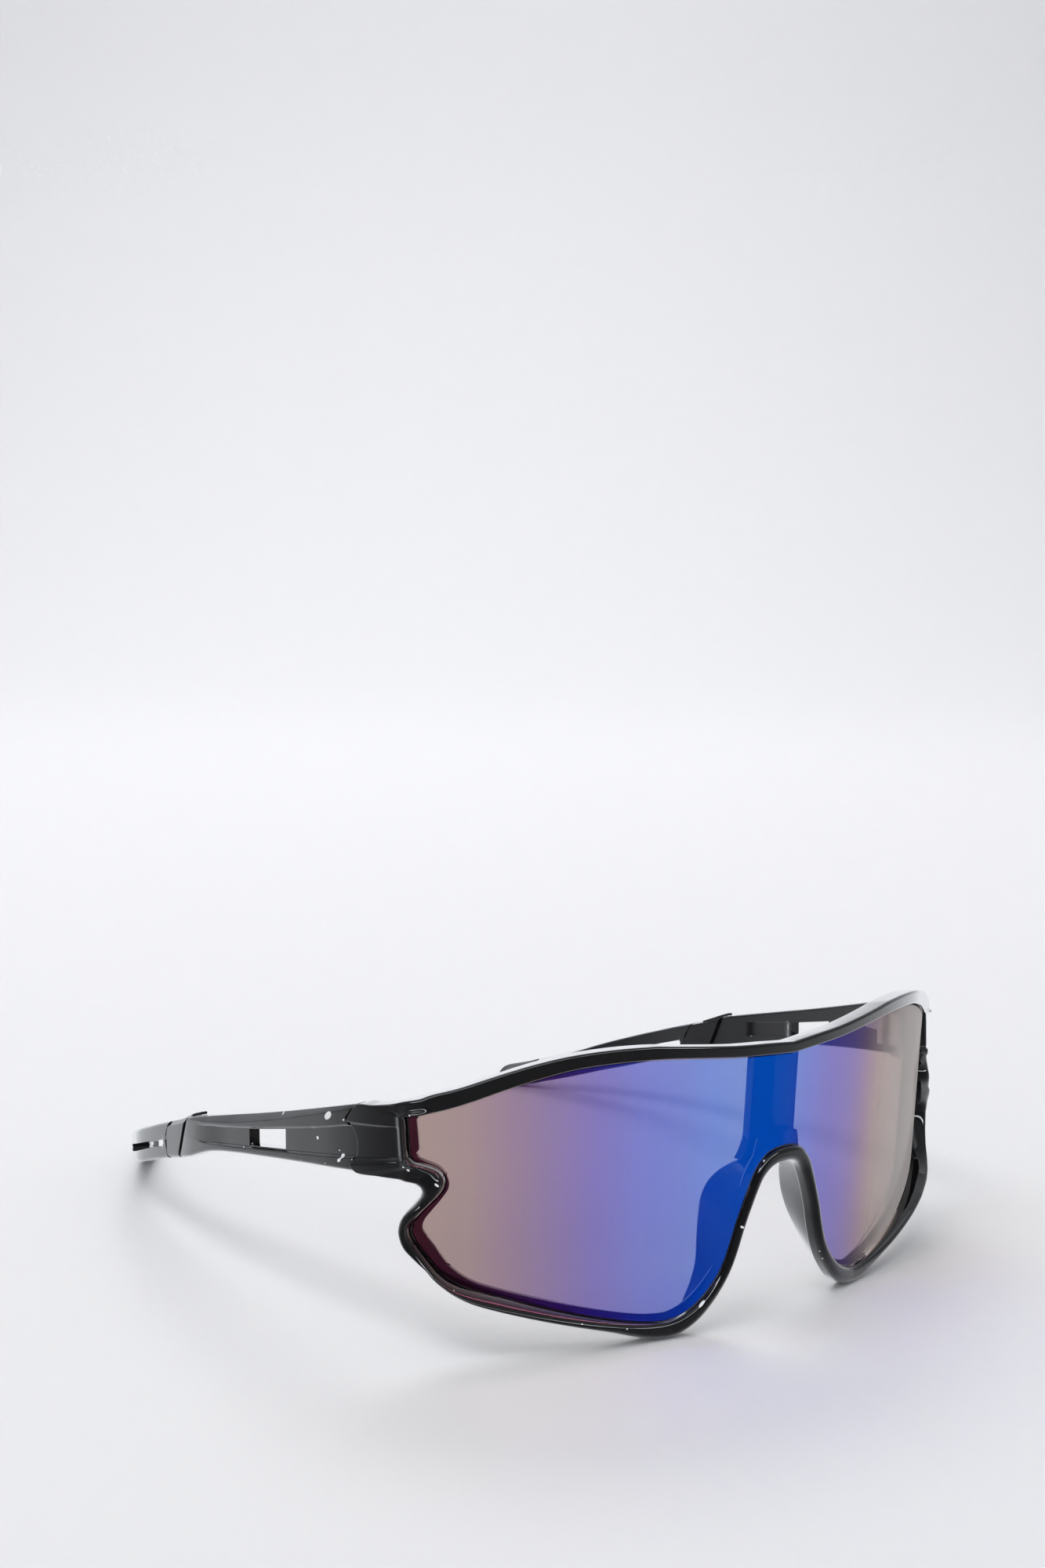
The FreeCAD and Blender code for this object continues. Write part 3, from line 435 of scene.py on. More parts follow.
def gloss_black(name, base=0.0035, rough=0.035, gain=3.0, straight_on=0.009, flecks=()):
    """Moulded black plastic: a dark body under a reflection that is weak straight on
    (straight_on) and rises quickly towards grazing (gain)."""
    material, graph = new_material(name)
    position = graph.position()
    cloud = graph.noise(position, scale=140.0, detail=3.0)
    gloss_rough = graph.map_range(cloud, source=(0.3, 0.7), target=(rough * 0.8, rough * 1.3))
    colour = graph.mix_colour(cloud, bluish(base, 1.08), bluish(base * 1.5, 1.08))
    ripple = graph.noise(position, scale=420.0, detail=1.0)
    normal = graph.bump(ripple, strength=0.012, distance=0.00002)
    if flecks:
        masks = [fleck_mask(graph, position, *fleck) for fleck in flecks]
        masks.append(dust_mask(graph, position))
        mask = masks[0]
        for other in masks[1:]:
            mask = graph.calc("MAXIMUM", mask, other)
        colour = graph.mix_colour(mask, colour, (0.86, 0.87, 0.88, 1))
    body = graph.node("BsdfPrincipled", {"Base Color": colour, "Roughness": 0.6,
                                         "Specular IOR Level": 0.0})
    fresnel = graph.node("Fresnel", {"IOR": 1.5})
    # 0.04 is the Fresnel value straight on
    share = graph.calc("MULTIPLY_ADD", fresnel, gain, straight_on - 0.04 * gain)
    share = graph.calc("MINIMUM", graph.calc("MAXIMUM", share, 0.0), 0.92)
    gloss = graph.node("BsdfGlossy", {"Color": (0.97, 0.985, 1.0, 1), "Normal": normal,
                                      "Roughness": gloss_rough})
    graph.finish(graph.mix_shader(share, body, gloss))
    return material


def soft_matte(name):
    """Finely grained matte black."""
    base, rough, blue = 0.022, 0.55, 1.03
    material, graph = new_material(name)
    position = graph.position()
    grain = graph.noise(position, scale=2600.0, detail=4.0, roughness=0.6)
    cloud = graph.noise(position, scale=120.0, detail=3.0)
    graph.finish(graph.node("BsdfPrincipled", {
        "Base Color": graph.mix_colour(cloud, bluish(base * 0.88, blue),
                                       bluish(base * 1.15, blue)),
        "Roughness": graph.map_range(cloud, source=(0.3, 0.7),
                                     target=(rough * 0.9, rough * 1.12)),
        "Normal": graph.bump(grain, strength=0.12, distance=0.00003)}))
    return material


def steel(name):
    """Bare metal with streaks across Z."""
    material, graph = new_material(name)
    stretched = graph.node("Mapping", {0: graph.position(), "Scale": (1, 1, 18)})
    streaks = graph.noise(stretched, scale=700.0, detail=3.0)
    graph.finish(graph.node("BsdfPrincipled", {
        "Metallic": 1.0,
        "Base Color": graph.mix_colour(streaks, (0.42, 0.42, 0.43, 1), (0.66, 0.66, 0.67, 1)),
        "Roughness": graph.map_range(streaks, target=(0.2, 0.38))}))
    return material


def srgb(*channels):
    """Linear colour from 0-255 display values."""
    shares = [c / 255 for c in channels]
    return tuple(c / 12.92 if c <= 0.04045 else ((c + 0.055) / 1.055) ** 2.4
                 for c in shares) + (1,)


# Mirror colour from the lens centre outwards: (share, red, green, blue), 0-255.
MIRROR_STOPS = [
    (0.0, 0, 86, 192), (0.17, 0, 84, 190), (0.285, 2, 80, 186), (0.35, 4, 73, 180),
    (0.415, 6, 66, 175), (0.50, 14, 50, 158), (0.595, 32, 34, 130), (0.70, 45, 22, 98),
    (0.80, 50, 20, 68), (0.92, 55, 22, 42), (1.0, 58, 24, 36)]
# See-through tint from the centre outwards: (share, red, green, blue), linear.
TINT_STOPS = [
    (0.0, 0.22, 0.30, 0.28), (0.30, 0.225, 0.26, 0.24), (0.355, 0.25, 0.285, 0.295),
    (0.413, 0.235, 0.28, 0.345), (0.47, 0.245, 0.265, 0.355), (0.56, 0.25, 0.255, 0.43),
    (0.647, 0.272, 0.232, 0.415), (0.74, 0.315, 0.245, 0.363), (0.84, 0.372, 0.277, 0.314),
    (0.91, 0.407, 0.318, 0.298), (1.0, 0.42, 0.335, 0.30)]
BAND_SPAN = 68.0         # |x| over which the colour bands run


def lens_coat(name):
    """Mirror coating over a tinted lens: coloured reflection added to a see-through tint, with a
    painted pale reflection where the lens is seen edge-on.
    """
    material, graph = new_material(name)
    position = graph.position()
    side = graph.calc("ABSOLUTE", graph.node("SeparateXYZ", {0: position}))
    # the coating's thickness wanders a little, so the colour bands are not ruler straight
    wander = graph.calc("MULTIPLY_ADD", graph.noise(position, scale=22.0, detail=2.0),
                        0.05, -0.025)
    incoming = graph.node("NewGeometry", out="Incoming")
    facing = graph.calc("ABSOLUTE", graph.dot(incoming, incoming.node.outputs["Normal"]))
    # turning away from the viewer moves the bands along, with an extra hump around 0.62
    turn = graph.calc("MULTIPLY_ADD", facing, -0.8, 0.8)
    near_side = graph.smooth_range(facing, source=(0.47, 0.62), target=(1.0, 0.0))
    far_side = graph.smooth_range(facing, source=(0.62, 0.73), target=(1.0, 0.0))
    hump = graph.calc("MULTIPLY", graph.calc("SUBTRACT", far_side, near_side), 0.15)
    shift = graph.calc("ADD", graph.calc("ADD", turn, hump), wander)
    band = graph.calc("MULTIPLY_ADD", side, 1000 / BAND_SPAN, shift, clamp=True)
    mirror = graph.ramp(band, [(stop[0], srgb(*stop[1:])) for stop in MIRROR_STOPS])
    tint = graph.ramp(band, [(stop[0], stop[1:] + (1,)) for stop in TINT_STOPS])
    # faint streaks and dust in the roughness
    dust = graph.noise(position, scale=260.0, detail=4.0)
    rough = graph.map_range(dust, source=(0.35, 0.75), target=(0.02, 0.05))
    coat = graph.node("AddShader", {
        0: graph.node("BsdfGlossy", {"Color": mirror, "Roughness": rough}),
        1: graph.node("BsdfTransparent", {"Color": tint})})
    # clear coat: an almost white reflection that grows towards grazing
    share = graph.calc("MULTIPLY", graph.node("Fresnel", {"IOR": 1.45}), 1.25)
    share = graph.calc("SUBTRACT", share, 0.062, clamp=True)
    clear = graph.node("BsdfGlossy", {"Roughness": 0.04, "Color": (1, 0.98, 0.95, 1)})
    coated = graph.mix_shader(share, coat, clear)
    # painted reflection: seen nearly edge-on the lens is given a pale diffuse colour that stands
    # in for the bright reflection there and hides what is behind it
    painted_reflection_share = graph.smooth_range(facing, source=(0.2, 0.47), target=(0.82, 0.0))
    painted_reflection = graph.node("BsdfDiffuse", {"Color": srgb(196, 190, 186)})
    graph.finish(graph.mix_shader(painted_reflection_share, coated, painted_reflection))
    return material


def lens_clear(name):
    """Uncoated back and edge of the lens: mostly clear, a dim reflection of its own."""
    material, graph = new_material(name)
    cloud = graph.noise(graph.position(), scale=60.0, detail=2.0)
    colour = graph.mix_colour(cloud, (0.93, 0.93, 0.94, 1), (0.97, 0.97, 0.97, 1))
    # only the outside of the back face reflects, so that the front view stays clean
    outside = graph.calc("SUBTRACT", 1.0, graph.node("NewGeometry", out="Backfacing"))
    share = graph.calc("MULTIPLY", graph.node("Fresnel", {"IOR": 1.5}), outside)
    graph.finish(graph.mix_shader(share, graph.node("BsdfTransparent", {"Color": colour}),
                                  graph.node("BsdfGlossy", {"Roughness": 0.03})))
    return material


def floor_paper(name):
    material, graph = new_material(name)
    graph.finish(graph.node("BsdfPrincipled", {
        "Base Color": (0.80, 0.802, 0.812, 1), "Roughness": 0.75,
        "Specular IOR Level": 0.2}))
    return material


FRAME_BLACK = gloss_black("frame_gloss_black", flecks=RIM_FLECKS)
TEMPLE_BLACK = gloss_black("temple_gloss_black", flecks=TEMPLE_FLECKS)
COLLAR_BLACK = gloss_black("collar_satin_black", base=0.010, rough=0.16, gain=2.0)
EAR_BLACK = gloss_black("ear_section_black", base=0.012, rough=0.14, gain=2.1)
FLANGE_BLACK = gloss_black("nose_flange_satin", base=0.016, rough=0.22, straight_on=0.03)
TIP_MATTE = soft_matte("tip_soft_matte")
HINGE_STEEL = steel("hinge_steel")
LENS_COAT = lens_coat("lens_mirror_coat")
LENS_CLEAR = lens_clear("lens_back")

# -------------------------------------------------------------- front frame
# Stations round the left (+x) half of the lens opening, from the middle of the brow to
# the middle of the nose bridge. Columns:
#   lens edge, outer edge and seat edge, each (run, z); rounding of the outer edge;
#   share of the recessed side panel; reach of the seat towards its edge; crest height;
#   then inner rounding, bead (0 flat front, 1 rounded) and height of the back.
FLAT = (0.42, 0.0, BACK)
BEAD = (0.9, 1.0, BACK)
NOSE = (0.9, 1.0, -2.4)
BROW = (0.55, 0, 0.25, 1.05, *FLAT)
PANEL = (0.2, 1.0, 0.4, 1.4, *FLAT)
RIM = [
    (0, 51.2, 0, 53.4, 0, 49.2, *BROW),
    (5.7, 51.6, 5.7, 53.9, 5.7, 49.6, *BROW),
    (12.8, 52.05, 12.8, 54.35, 12.8, 50.05, *BROW),
    (18.6, 52.6, 18.6, 54.9, 18.7, 50.6, *BROW),
    (25.6, 53.2, 25.6, 55.58, 25.7, 51.2, *BROW),
    (29.9, 53.35, 30.0, 55.95, 29.8, 51.35, *BROW),
    (36.7, 53.2, 37.0, 55.85, 36.4, 51.2, *BROW),
    (43.1, 52.4, 43.6, 55.1, 42.6, 50.45, *BROW),
    (47.9, 51.05, 48.6, 53.9, 47.2, 49.2, *BROW),
    (51.4, 49.8, 52.3, 52.65, 50.6, 48.0, *BROW),
    (54.7, 48.35, 55.8, 51.2, 53.8, 46.6, *BROW),
    (57.9, 46.85, 59.4, 49.6, 57.0, 45.1, *BROW),
    # upper corner, out to the lug
    (61.1, 45.5, 63.2, 48.2, 60.2, 43.7, 0.6, 0, 0.25, 1.15, *FLAT),
    (63.7, 44.65, lug(24.6), 47.35, 62.3, 42.75, 0.65, 0, 0.3, 1.3, *FLAT),
    (65.4, 44.2, lug(27.8), 46.1, 63.1, 42.2, 0.65, 0, 0.3, 1.3, *FLAT),
    (66.1, 43.98, lug(31.4), 45.35, 63.3, 41.8, 0.6, 0, 0.4, 1.3, *FLAT),
    (66.3, 43.7, lug(35.1), 44.85, 63.4, 41.4, 0.25, 0, 0.4, 1.4, *FLAT),
    (66.27, 43.1, lug(36.4), 43.5, 63.35, 40.9, 0.2, 0, 0.4, 1.4, *FLAT),
    (66.22, 42.45, lug(37.45), 42, 63.3, 40.4, 0.2, 0, 0.4, 1.4, *FLAT),
    (66.2, 42.2, lug(37.65), 41.35, 63.3, 40.2, 0.2, 0, 0.4, 1.4, *FLAT),
    (66.17, 41.95, lug(37.2), 40.95, 63.25, 40.0, *PANEL),
    (66.13, 41.2, lug(36.3), 40.2, 63.2, 39.6, *PANEL),
    (66, 39.0, lug(35.3), 38.2, 63.1, 38.7, *PANEL),
    (65.87, 37.2, lug(35.35), 35.95, 63.0, 37.8, *PANEL),
    (65.83, 36.65, lug(35.7), 34.95, 62.9, 37.5, 0.2, 1.0, 0.3, 1.4, *FLAT),
    (65.7, 36.4, lug(36.2), 34.45, 62.85, 37.35, 0.2, 0, 0.22, 1.4, *FLAT),
    (65.43, 35.95, lug(36.5), 33.6, 62.7, 37.1, 0.2, 0, 0.18, 2, *FLAT),
    (65, 35.45, lug(35.2), 32.55, 62.4, 36.8, 0.3, 0, 0.14, 2, *FLAT),
    (64.2, 35.1, lug(31.0), 32.45, 61.9, 36.5, 0.8, 0, 0.1, 1.6, *FLAT),
    (63.5, 34.85, lug(27.0), 32.35, 61.3, 36.1, 0.85, 0, 0.06, 1.7, 0.6, 0.3, BACK),
    # down the side, below the lug
    (62.6, 34.45, 66.3, 32.2, 60.5, 35.4, 0.85, 0, 0.05, 1.8, 0.6, 0.3, BACK),
    (61.9, 33.95, 65.1, 31.9, 59.8, 34.6, 0.85, 0, 0.05, 2, 1.0, 0.7, BACK),
    (61.35, 33.25, 64.4, 31.4, 59.25, 33.7, 0.85, 0, 0.06, 2.2, 1.0, 0.7, BACK),
    (61.05, 32.5, 64.1, 30.9, 58.95, 32.7, 0.85, 0, 0.1, 2.4, 1.0, 0.7, BACK),
    (61.0, 31.75, 64.0, 30.35, 58.9, 31.7, 0.85, 0, 0.2, 2.5, 1.0, 0.7, BACK),
    (61.15, 31.0, 64.1, 29.75, 59.05, 30.7, 0.85, 0, 0.32, 2.5, 1.0, 0.7, BACK),
    (61.5, 30.2, 64.45, 29, 59.5, 29.6, 0.8, 0, 0.42, 2.5, 1.0, 1.0, BACK),
    (62.15, 29.2, 64.9, 28.1, 60.4, 28.1, 0.7, 0, 0.5, 2.5, 1.0, 1.0, BACK),
    (63.0, 28.0, 65.7, 27, 61.3, 26.9, 0.65, 0, 0.58, 2.9, 1.0, 1.0, BACK),
    (63.95, 26.5, 66.6, 25.8, 62.2, 25.7, 0.6, 0, 0.66, 2.9, *BEAD),
    (64.7, 25.2, 67.2, 24.7, 62.8, 24.7, 0.6, 0, 0.66, 2.9, *BEAD),
    (65.15, 24.2, 67.45, 23.9, 63.1, 23.9, 0.6, 0, 0.66, 2.9, *BEAD),
    (65.3, 23.2, 67.55, 23.1, 63.2, 23.2, 0.6, 0, 0.66, 2.9, *BEAD),
    (65.2, 22.1, 67.25, 21.8, 63.15, 22.5, 0.6, 0, 0.66, 2.7, *BEAD),
    (64.75, 20.9, 66.55, 20.4, 62.8, 21.7, 0.6, 0, 0.66, 2.6, *BEAD),
    (64.0, 19.5, 65.5, 19, 62.15, 20.5, 0.65, 0, 0.66, 2.6, *BEAD),
    (63.1, 18.0, 64.35, 17.55, 61.3, 19.1, 0.7, 0, 0.66, 2.7, *BEAD),
    (62.2, 16.55, 63.1, 16.25, 60.4, 17.7, 0.7, 0, 0.64, 2.85, *BEAD),
    (61.2, 15.1, 62.3, 15, 59.5, 16.3, 0.75, 0, 0.62, 3.1, *BEAD),
    (60.0, 13.85, 61.1, 13.65, 58.5, 15.3, 0.8, 0, 0.6, 3.4, *BEAD),
    # along the bottom
    (58.3, 12.65, 59.4, 12.05, 57.1, 14.35, 0.85, 0, 0.5, 3.7, *BEAD),
    (56.0, 11.6, 57.1, 10.4, 55.2, 13.5, 0.9, 0, 0.38, 3.85, *BEAD),
    (51.5, 10.05, 52.4, 8.4, 50.9, 12.05, 0.9, 0, 0.35, 3.7, *BEAD),
    (46.2, 8.3, 46.9, 6.45, 45.6, 10.3, 0.9, 0, 0.4, 3.2, *BEAD),
    (40.7, 6.6, 41.3, 4.7, 40.1, 8.6, 0.9, 0, 0.45, 2.6, 0.9, 1.0, -3.12),
    (34.8, 5.0, 35.2, 2.9, 34.3, 7.0, 0.95, 0, 0.5, 2, 0.9, 1.0, -2.85),
    (30.2, 3.95, 30.4, 1.35, 29.9, 5.95, 1.0, 0, 0.52, 1.5, 0.9, 1.0, -2.57),
    (26.2, 3.4, 26.3, 0.25, 26.3, 5.4, 1.0, 0, 0.52, 1.2, 0.9, 1.0, -2.55),
    # up the nose to the bridge
    (23.2, 3.45, 22.6, 0.2, 23.8, 5.4, 1.0, 0, 0.5, 1.0, *NOSE),
    (20.9, 4.15, 19.9, 1.15, 22.0, 5.9, 1.0, 0, 0.5, 1.0, *NOSE),
    (18.9, 5.2, 17.4, 2.75, 20.5, 6.7, 0.95, 0, 0.5, 1.0, *NOSE),
    (17.1, 6.6, 15.2, 4.95, 19.0, 7.9, 0.9, 0, 0.45, 1.0, *NOSE),
    (14.9, 9.0, 13.0, 7.85, 17.1, 10.2, 0.85, 0, 0.38, 1.0, *NOSE),
    (12.95, 12.1, 11.1, 11.5, 15.1, 12.9, 0.8, 0, 0.3, 1.0, *NOSE),
    (11.5, 16.1, 9.7, 15.45, 13.6, 16.6, 0.8, 0, 0.28, 1.0, *NOSE),
    (10.4, 19.9, 8.6, 19.3, 12.5, 20.4, 0.8, 0, 0.28, 1.0, *NOSE),
    (9.2, 23.3, 7.4, 22.6, 11.3, 24.0, 0.85, 0, 0.28, 1.0, *NOSE),
    (8.0, 26.5, 6.1, 25.7, 10.1, 27.3, 0.9, 0, 0.28, 1.0, *NOSE),
    (6.7, 29.4, 4.75, 28.1, 8.8, 30.6, 1.0, 0, 0.28, 1.0, *NOSE),
    (5.3, 31.3, 3.3, 29.45, 7.3, 33.4, 1.05, 0, 0.28, 1.0, *NOSE),
    (3.6, 32.5, 1.9, 30.05, 5.2, 35.0, 1.1, 0, 1.0, 1.0, *NOSE),
    (1.8, 32.95, 0.9, 30.2, 2.7, 35.4, 1.1, 0, 1.0, 1.0, *NOSE),
    (0, 33.05, 0, 30.2, 0, 35.45, 1.1, 0, 1.0, 1.0, *NOSE),
]
RIM_STEP = 0.6           # rough spacing of the sampled sections
PANEL_RECESS = 0.5


def sample_rim():
    """Sections round half the rim; columns as in RIM, with the seat's reach worked in."""
    stations = np.array(RIM, float)
    steps = []
    for a, b in zip(stations, stations[1:]):
        length = max(np.hypot(*(b[0:2] - a[0:2])), np.hypot(*(b[2:4] - a[2:4])))
        steps.append(int(np.clip(round(length / RIM_STEP), 2, 10)))
    # the three curves share their parameters, each with its own spacing
    edge, outer, seat = (spline_through(stations[:, k:k + 2], steps) for k in (0, 2, 4))
    knots = np.concatenate([[0], np.cumsum(steps)])
    samples = np.arange(knots[-1] + 1)
    rounding, panel, reach, *others = (np.interp(samples, knots, stations[:, k])
                                       for k in range(6, 13))
    seat = edge + (seat - edge) * reach[:, None]
    return np.column_stack([edge, outer, seat, rounding, ease(0, 1, panel), *others])


def rim_section(row):
    """Closed section of the rim as (run, z, height) points, from the seat's back corner."""
    edge, outer, seat = row[0:2], row[2:4], row[4:6]
    rounding, panel, crest, inner_rounding, bead, back = row[6:]
    width = np.linalg.norm(outer - edge)
    outwards = (outer - edge) / width
    points = []

    def across(distance, height):
        points.append((*(edge + outwards * distance), height))

    def ledge(share, height):
        points.append((*(edge + (seat - edge) * share), height))

    for share, height in (
            (0.9, back), (0.98, back + 0.12), (1.0, back + 0.35), (1.0, SEAT - 0.22),
            (0.97, SEAT - 0.05), (0.9, SEAT), (0.45, SEAT), (0.0, SEAT)):
        ledge(share, height)
    across(0.0, -0.6)
    # inner side of the lip, from its foot out to the crest
    foot = 0.12
    inner = inner_rounding * (1 - bead) + min(inner_rounding, 0.5 * width) * bead
    raised = 0.8 * ease(62.5, 64.5, edge[0]) * ease(35.0, 37.0, edge[1])
    for k in range(7):
        t = k / 6 * math.pi / 2
        across(inner * (1 - math.cos(t)), foot + (crest + raised - foot) * math.sin(t))
    # front face
    drop = (crest + 0.55) * bead + rounding * (1 - bead)
    turn = min((width - inner) * 0.98, 1.35) * bead + rounding * (1 - bead)
    face_end = width - turn
    if width > 5.5:
        shares = [0.03, 0.06, 0.09, 0.125, 0.165, 0.22, 0.3, 0.45, 0.65, 0.85]
    else:
        shares = np.linspace(0.08, 0.92, 10)
    for share in shares:
        distance = inner + (face_end - inner) * share
        recess = PANEL_RECESS * panel * ease(0.6, 1.3, distance)
        across(distance, crest - recess + raised * (1 - ease(inner, 1.5, distance)))
    # outer rounding
    face = crest - PANEL_RECESS * panel
    for k in range(9):
        t = k / 8 * math.pi / 2
        across(face_end + turn * math.sin(t), face - drop * (1 - math.cos(t)))
    # outer side, drawn in at the rear under the brow, and the back
    back_rounding = 0.55
    drawn_in = 0.45 * ease(46.0, 49.0, outer[1])
    across(width - drawn_in * 0.35, (face - drop + back + back_rounding) / 2)
    for k in range(5):
        t = k / 4 * math.pi / 2
        across(width - drawn_in - back_rounding * (1 - math.cos(t)),
               back + back_rounding * (1 - math.sin(t)))
    across(width * 0.5, back)
    across(0.1, back)
    ledge(0.5, back)
    return points


rim_rows = sample_rim()


def build_front():
    half = skin([rim_section(row) for row in rim_rows])
    rings = np.concatenate([mirror_x(half[::-1])[:-1], half[:-1]])
    return add_tube("front_frame_shell", rings, FRAME_BLACK, sharp_angle=50, closed=True)


# Half width of the centre bar, flaring at its foot: (z, half width).
BAR_HALF = Curve([(30.5, 8.0), (31.5, 7.3), (32.6, 6.7), (33.8, 6.2), (34.8, 6.0),
                  (37.0, 5.95), (53, 5.9)])


def build_bar():
    """Centre bar behind the lens, from the brow down to the bridge."""
    front, back = -3.25, -5.7
    rounding, corner = 0.4, 0.12
    rings = []
    for z in np.concatenate([np.linspace(52.0, 37.0, 17), np.linspace(36.2, 30.8, 13)]):
        half = float(BAR_HALF(z))
        side = [(-half + rounding, front), (-half + corner, front - corner),
                (-half, front - rounding), (-half, back + rounding),
                (-half + corner, back + corner), (-half + rounding, back)]
        section = (side + [(x, back) for x in (-3.0, 0, 3.0)]
                   + [(-x, height) for x, height in reversed(side)]
                   + [(x, front) for x in (3.0, 0, -3.0)])
        rings.append([(x, z, height) for x, height in section])
    return add_tube("centre_bar", skin(rings), FRAME_BLACK, sharp_angle=50, flip_caps=True)


# Nose flange: |x|, distance behind the lens front and z at the root, the same three at
# the rear edge, then the thickness.
FLANGE = [
    (1.2, 0.7, 30.5, 5.2, 5.6, 30.6, 1.3), (3.2, 0.5, 29.55, 6.6, 7.2, 29.3, 1.5),
    (4.9, 0.4, 28.1, 7.6, 8.6, 27.8, 1.7), (6.1, 0.3, 25.9, 8.5, 9.8, 25.7, 1.8),
    (7.4, 0.3, 22.7, 9.3, 10.3, 22.8, 1.9), (8.6, 0.3, 19.3, 9.9, 9.9, 19.4, 1.9),
    (9.7, 0.3, 15.5, 10.9, 8.8, 15.7, 1.9), (11.1, 0.3, 11.5, 12.4, 7.0, 11.8, 1.9),
    (13.0, 0.4, 7.9, 14.4, 5.8, 8.3, 1.8), (15.2, 0.6, 5.05, 16.7, 4.7, 5.7, 1.6),
    (17.4, 0.9, 2.9, 18.7, 3.6, 3.7, 1.2)]


def build_flange(name, sign):
    rings = []
    for row in spline_through(FLANGE, 5):
        root, rear, thick = row[0:3], row[3:6], row[6]
        length = np.linalg.norm(rear - root)
        along = (rear - root) / length
        across = np.cross(along, np.array([0, 0, 1.0]))
        across = across / np.linalg.norm(across)
        radius = thick / 2
        straight = length - radius
        ring = [root + along * straight * k - across * 0.35 * math.sin(math.pi * k) * 0.6
                for k in np.linspace(0, 1, 9)]
        for k in range(1, 8):
            t = k / 8 * math.pi
            ring.append(rear - along * radius + along * radius * math.sin(t)
                        + across * radius * (1 - math.cos(t)))
        ring += [root + along * straight * k + across * (thick + 0.5 * (1 - k))
                 for k in np.linspace(1, 0, 7)]
        rings.append(ring)
    x, behind, z = np.moveaxis(np.array(rings), -1, 0)
    points = lens_point(x, z, 0.0)
    points[..., 1] += behind
    points[..., 0] *= sign
    return add_tube(name, points, FLANGE_BLACK, sharp_angle=60, flip_caps=True)


front_shell = build_front()
front_pieces = [front_shell, build_bar(), build_flange("nose_flange_left", 1),
                build_flange("nose_flange_right", -1)]


# --------------------------------------------------------------------- lens
LENS_THICK = 1.8
LENS_PLAY = 0.12         # gap between the lens and the rim
# Rings of the lens edge: (inset, height). The first five run from the side to the front
# face, the last three to the back face.
LENS_RINGS = [
    (LENS_PLAY, -0.9), (LENS_PLAY, -0.28), (LENS_PLAY + 0.06, -0.10),
    (LENS_PLAY + 0.18, -0.02), (LENS_PLAY + 0.34, 0.0),
    (LENS_PLAY, -1.5), (LENS_PLAY + 0.1, -1.72), (LENS_PLAY + 0.3, -LENS_THICK)]
FRONT_RING, BACK_RING = 4, 7
RING_ORDER = [4, 3, 2, 1, 0, 5, 6, 7]
COATED_RINGS = (4, 3, 2)


def lens_outline():
    """Lens edge in (run, z), clockwise seen from the front, without near-duplicates."""
    half = rim_rows[:, 0:2]
    kept = []
    for point in np.concatenate([half[:-1], mirror_x(half[::-1])[:-1]]):
        if not kept or np.hypot(*(point - kept[-1])) > 0.12:
            kept.append(point)
    return np.array(kept)


def grid_inside(outline):
    """Points of a regular grid that lie well inside the outline."""
    spacing, clearance = 1.5, 0.75
    grid = np.array([(x, z) for x in np.arange(-66, 66.1, spacing)
                     for z in np.arange(2, 54, spacing)])
    distance = np.full(len(grid), 1e9)
    inside = np.zeros(len(grid), bool)
    for start, end in zip(outline, np.roll(outline, -1, 0)):
        span = end - start
        t = np.clip(((grid - start) @ span) / (span @ span), 0, 1)
        distance = np.minimum(distance, np.hypot(*(grid - start - t[:, None] * span).T))
        crosses = (start[1] > grid[:, 1]) != (end[1] > grid[:, 1])
        with np.errstate(divide="ignore", invalid="ignore"):
            cross_x = start[0] + (grid[:, 1] - start[1]) * span[0] / span[1]
        inside ^= crosses & (grid[:, 0] < cross_x)
    return grid[inside & (distance > clearance)]


